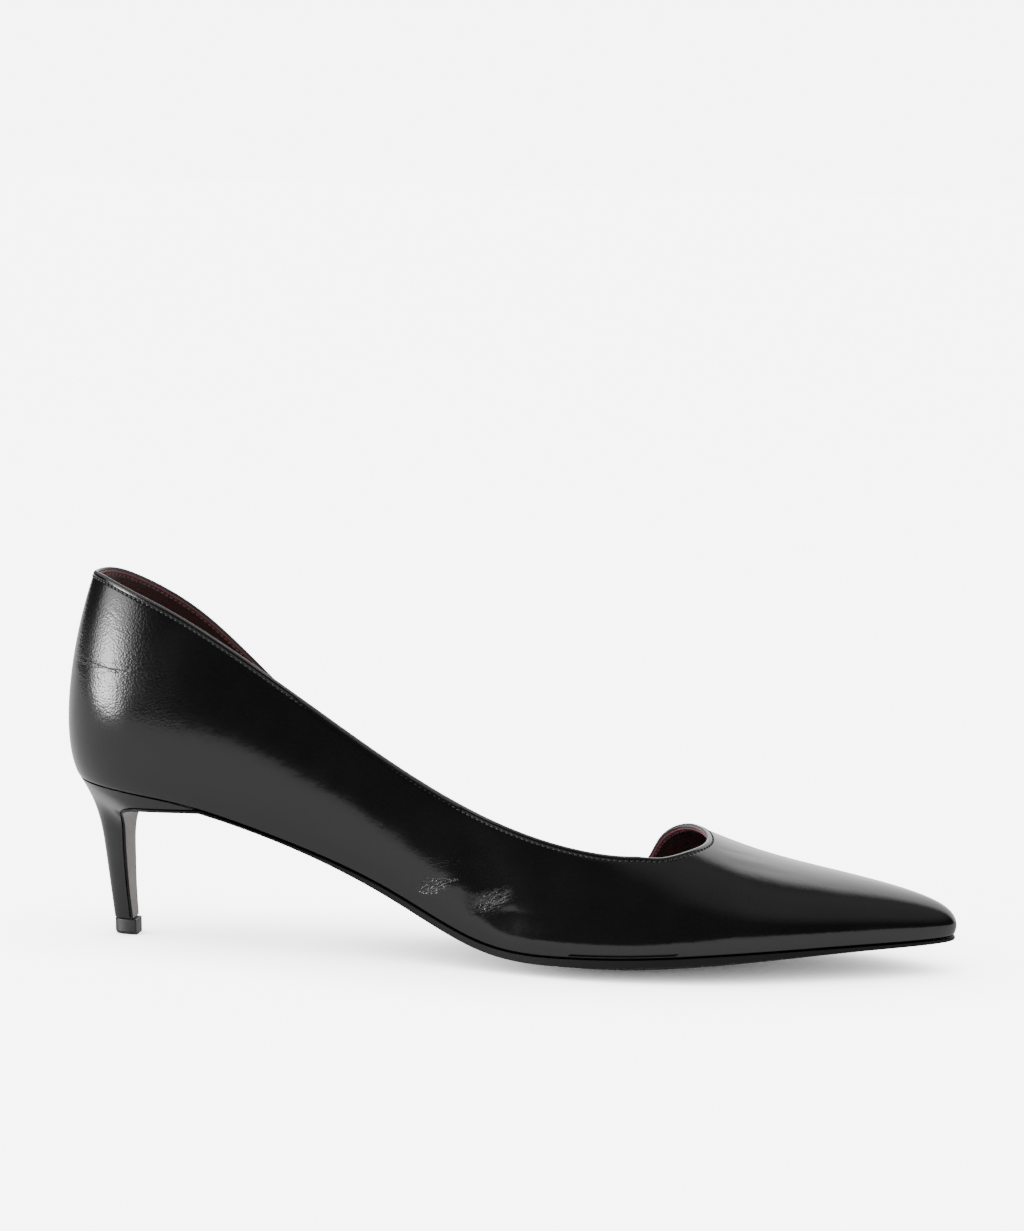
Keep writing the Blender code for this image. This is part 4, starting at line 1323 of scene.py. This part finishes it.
def make_surroundings(settings):
    """White behind the shoe, even light on matt surfaces, and a dark room in its reflections."""
    world = bpy.context.scene.world or bpy.data.worlds.new("studio")
    bpy.context.scene.world = world
    world.use_nodes = True
    nodes, links = world.node_tree.nodes, world.node_tree.links
    nodes.clear()
    out = nodes.new("ShaderNodeOutputWorld")
    back = nodes.new("ShaderNodeBackground")
    rays = nodes.new("ShaderNodeLightPath")
    place = nodes.new("ShaderNodeTexCoord")
    total = nodes.new("ShaderNodeValue")
    total.outputs["Value"].default_value = settings.room_level
    level = total.outputs["Value"]
    for _, *values in GLOWS:
        more = nodes.new("ShaderNodeMath")
        more.operation = "ADD"
        links.new(level, more.inputs[0])
        links.new(glow(world.node_tree, place.outputs["Generated"], *values), more.inputs[1])
        level = more.outputs["Value"]
    matt = nodes.new("ShaderNodeMix")
    links.new(rays.outputs["Is Diffuse Ray"], matt.inputs["Factor"])
    links.new(level, matt.inputs["A"])
    matt.inputs["B"].default_value = settings.even_light
    seen = nodes.new("ShaderNodeMix")
    links.new(rays.outputs["Is Camera Ray"], seen.inputs["Factor"])
    links.new(matt.outputs["Result"], seen.inputs["A"])
    seen.inputs["B"].default_value = settings.floor_lift + FLOOR_SHADE * settings.even_light
    back.inputs["Color"].default_value = (1.0, 1.0, 1.0, 1.0)
    links.new(seen.outputs["Result"], back.inputs["Strength"])
    links.new(back.outputs["Background"], out.inputs["Surface"])


SENSOR_WIDTH = 36.0


def make_camera(settings):
    """The photo's view: a little in front of the heel side, a little above, slightly rolled."""
    azimuth, elevation, roll = settings.azimuth, settings.elevation, settings.roll
    back = Vector(toward(azimuth, elevation))
    right = (-back).cross(Vector((0, 0, 1))).normalized()
    up = right.cross(-back)
    turned_right = math.cos(roll) * right + math.sin(roll) * up
    turned_up = math.cos(roll) * up - math.sin(roll) * right
    data = bpy.data.cameras.new("camera")
    data.sensor_width = SENSOR_WIDTH
    data.lens = settings.lens
    data.clip_start, data.clip_end = 0.05, 50.0
    camera = bpy.data.objects.new("camera", data)
    bpy.context.scene.collection.objects.link(camera)
    turn = Matrix((turned_right, turned_up, back)).transposed().to_4x4()
    turn.translation = Vector((0.0, 0.0, settings.target_height)) + back * settings.distance
    camera.matrix_world = turn
    bpy.context.scene.camera = camera


# Add-on

class PumpCollar(bpy.types.PropertyGroup):
    """Sizes of the collar's fold, stitches and lining."""
    fold_thickness: bpy.props.FloatProperty(
        name="Fold Thickness", description="Thickness of the folded leather at the collar",
        default=0.0011, unit="LENGTH")
    stitch_distance: bpy.props.FloatProperty(
        name="Stitch Distance", description="From the collar's edge to the stitches",
        default=0.0019, unit="LENGTH")
    stitch_pitch: bpy.props.FloatProperty(
        name="Stitch Pitch", description="From one stitch to the next", default=0.0016, unit="LENGTH")
    stitch_length: bpy.props.FloatProperty(
        name="Stitch Length", description="Length of one stitch that shows", default=0.00125, unit="LENGTH")
    thread_width: bpy.props.FloatProperty(
        name="Thread Width", description="Width of the thread", default=0.0006, unit="LENGTH")
    stitch_slant: bpy.props.FloatProperty(
        name="Stitch Slant", description="Turn of each stitch out of the seam's line",
        default=math.radians(9.0), subtype="ANGLE")
    lining_drop: bpy.props.FloatProperty(
        name="Lining Drop", description="From the collar's edge down to the lining's cut edge",
        default=0.0007, unit="LENGTH")


def colour_property(name, description, default):
    """A colour that a user can change."""
    return bpy.props.FloatVectorProperty(
        name=name, description=description, default=default, subtype="COLOR", size=3, min=0.0, max=1.0)


class PumpColours(bpy.types.PropertyGroup):
    """Colours of the leathers, threads and top lift, and of a painted highlight and a painted reflection.
    """
    calf: colour_property("Calf", "Outer leather and the heel's covering", (0.005, 0.005, 0.0053))
    # Painted highlight on the fold's rim, strongest at the throat
    rim_highlight: colour_property("Rim Highlight", "The fold's rim at the throat", (0.13, 0.122, 0.122))
    lining: colour_property("Lining", "Lining and sock", (0.07, 0.033, 0.031))
    # The lining's own red margin colour, also laid on more strongly toward the throat as painted light
    lining_margin: colour_property("Lining Margin", "Top margin of the lining", (0.3, 0.085, 0.115))
    sole: colour_property("Sole", "Sole leather", (0.008, 0.008, 0.008))
    # Painted reflection: a paler colour standing in for the bright surroundings seen in the black breast
    # leather
    breast_reflection: colour_property("Breast Reflection", "Sole leather on the heel's breast", (0.27, 0.252, 0.24))
    top_lift: colour_property("Top Lift", "Plastic of the top lift", (0.012, 0.012, 0.012))
    outer_thread: colour_property("Outer Thread", "Thread on the leather", (0.018, 0.018, 0.018))
    lining_thread: colour_property("Lining Thread", "Thread on the lining", (0.14, 0.1, 0.09))


class PumpStudio(bpy.types.PropertyGroup):
    """Camera and surroundings."""
    azimuth: bpy.props.FloatProperty(
        name="Azimuth", description="Camera's turn round the shoe",
        default=math.radians(9.0), subtype="ANGLE")
    elevation: bpy.props.FloatProperty(
        name="Elevation", description="Camera's height as an angle",
        default=math.radians(7.5), subtype="ANGLE")
    roll: bpy.props.FloatProperty(
        name="Roll", description="Camera's turn in its own view",
        default=math.radians(1.02), subtype="ANGLE")
    distance: bpy.props.FloatProperty(
        name="Distance", description="Camera to its target", default=1.3, unit="LENGTH")
    target_height: bpy.props.FloatProperty(
        name="Target Height", description="Height of the camera's target", default=0.0983, unit="LENGTH")
    lens: bpy.props.FloatProperty(
        name="Lens", description="Focal length for a 36 mm sensor", default=132.3, unit="CAMERA")
    panel_width: bpy.props.FloatProperty(
        name="Panel Width", description="Width of the overhead panel", default=1.4, unit="LENGTH")
    panel_depth: bpy.props.FloatProperty(
        name="Panel Depth", description="Depth of the overhead panel", default=1.0, unit="LENGTH")
    panel_height: bpy.props.FloatProperty(
        name="Panel Height", description="Height of the overhead panel", default=1.6, unit="LENGTH")
    panel_brightness: bpy.props.FloatProperty(
        name="Panel Brightness", description="Brightness of the overhead panel's surface", default=1.2)
    room_level: bpy.props.FloatProperty(
        name="Room Level", description="Brightness of the dark room in reflections", default=0.03)
    floor_lift: bpy.props.FloatProperty(
        name="Floor Lift", description="Brightness added to the floor that the camera sees", default=6.0)
    even_light: bpy.props.FloatProperty(
        name="Even Light", description="Brightness that falls on matt surfaces", default=0.95)


class PUMP_OT_upper(bpy.types.Operator):
    """Make the outer leather with its fold and creases"""
    bl_idname = "pump.upper"
    bl_label = "Upper Leather"

    def execute(self, context):
        make_upper(context.scene.pump_collar, upper_leather(context.scene.pump_colours))
        return {"FINISHED"}


class PUMP_OT_lining(bpy.types.Operator):
    """Make the lining and the sock inside the shoe"""
    bl_idname = "pump.lining"
    bl_label = "Lining and Sock"

    def execute(self, context):
        leather = lining_leather(context.scene.pump_colours)
        make_lining(context.scene.pump_collar, leather)
        make_sock(leather)
        return {"FINISHED"}


class PUMP_OT_stitches(bpy.types.Operator):
    """Make the stitches round the collar"""
    bl_idname = "pump.stitches"
    bl_label = "Collar Stitches"

    def execute(self, context):
        collar, colours = context.scene.pump_collar, context.scene.pump_colours
        black = thread("black thread", colours.outer_thread, darkest=0.444, roughness=0.3)
        taupe = thread("taupe thread", colours.lining_thread, darkest=0.62, roughness=0.35)
        make_stitches(collar, "collar_stitches", 0.0, black)
        make_stitches(collar, "lining_stitches", UPPER_WALL - THREAD_RISE, taupe)
        return {"FINISHED"}


class PUMP_OT_outsole(bpy.types.Operator):
    """Make the outsole with its flap down the heel's breast"""
    bl_idname = "pump.outsole"
    bl_label = "Outsole"

    def execute(self, context):
        make_outsole(sole_leather(context.scene.pump_colours))
        return {"FINISHED"}


class PUMP_OT_heel(bpy.types.Operator):
    """Make the covered heel and its top lift"""
    bl_idname = "pump.heel"
    bl_label = "Heel and Top Lift"

    def execute(self, context):
        make_heel(heel_leather(context.scene.pump_colours))
        make_top_lift(lift_plastic(context.scene.pump_colours))
        return {"FINISHED"}


class PUMP_OT_studio(bpy.types.Operator):
    """Make the floor, lights, surroundings and camera"""
    bl_idname = "pump.studio"
    bl_label = "Studio"

    def execute(self, context):
        make_studio(context.scene.pump_studio)
        return {"FINISHED"}


OPERATORS = (PUMP_OT_upper, PUMP_OT_lining, PUMP_OT_stitches, PUMP_OT_outsole, PUMP_OT_heel, PUMP_OT_studio)


class PUMP_PT_panel(bpy.types.Panel):
    """Pump pieces in the order they are made"""
    bl_idname = "PUMP_PT_panel"
    bl_label = "D'Orsay Pump"
    bl_space_type = "VIEW_3D"
    bl_region_type = "UI"
    bl_category = "Pump"

    def draw(self, context):
        scene = context.scene
        for group in (scene.pump_collar, scene.pump_colours, scene.pump_studio):
            for name in group.__annotations__:
                self.layout.prop(group, name)
        for operator in OPERATORS:
            self.layout.operator(operator.bl_idname)


CLASSES = (PumpCollar, PumpColours, PumpStudio, *OPERATORS, PUMP_PT_panel)


def register():
    for entry in CLASSES:
        bpy.utils.register_class(entry)
    bpy.types.Scene.pump_collar = bpy.props.PointerProperty(type=PumpCollar)
    bpy.types.Scene.pump_colours = bpy.props.PointerProperty(type=PumpColours)
    bpy.types.Scene.pump_studio = bpy.props.PointerProperty(type=PumpStudio)


def unregister():
    del bpy.types.Scene.pump_studio
    del bpy.types.Scene.pump_colours
    del bpy.types.Scene.pump_collar
    for entry in reversed(CLASSES):
        bpy.utils.unregister_class(entry)


def main():
    """Dress the shoe."""
    register()
    bpy.ops.pump.upper()
    bpy.ops.pump.lining()
    bpy.ops.pump.stitches()
    bpy.ops.pump.outsole()
    bpy.ops.pump.heel()
    bpy.ops.pump.studio()


if __name__ == "__main__":
    main()
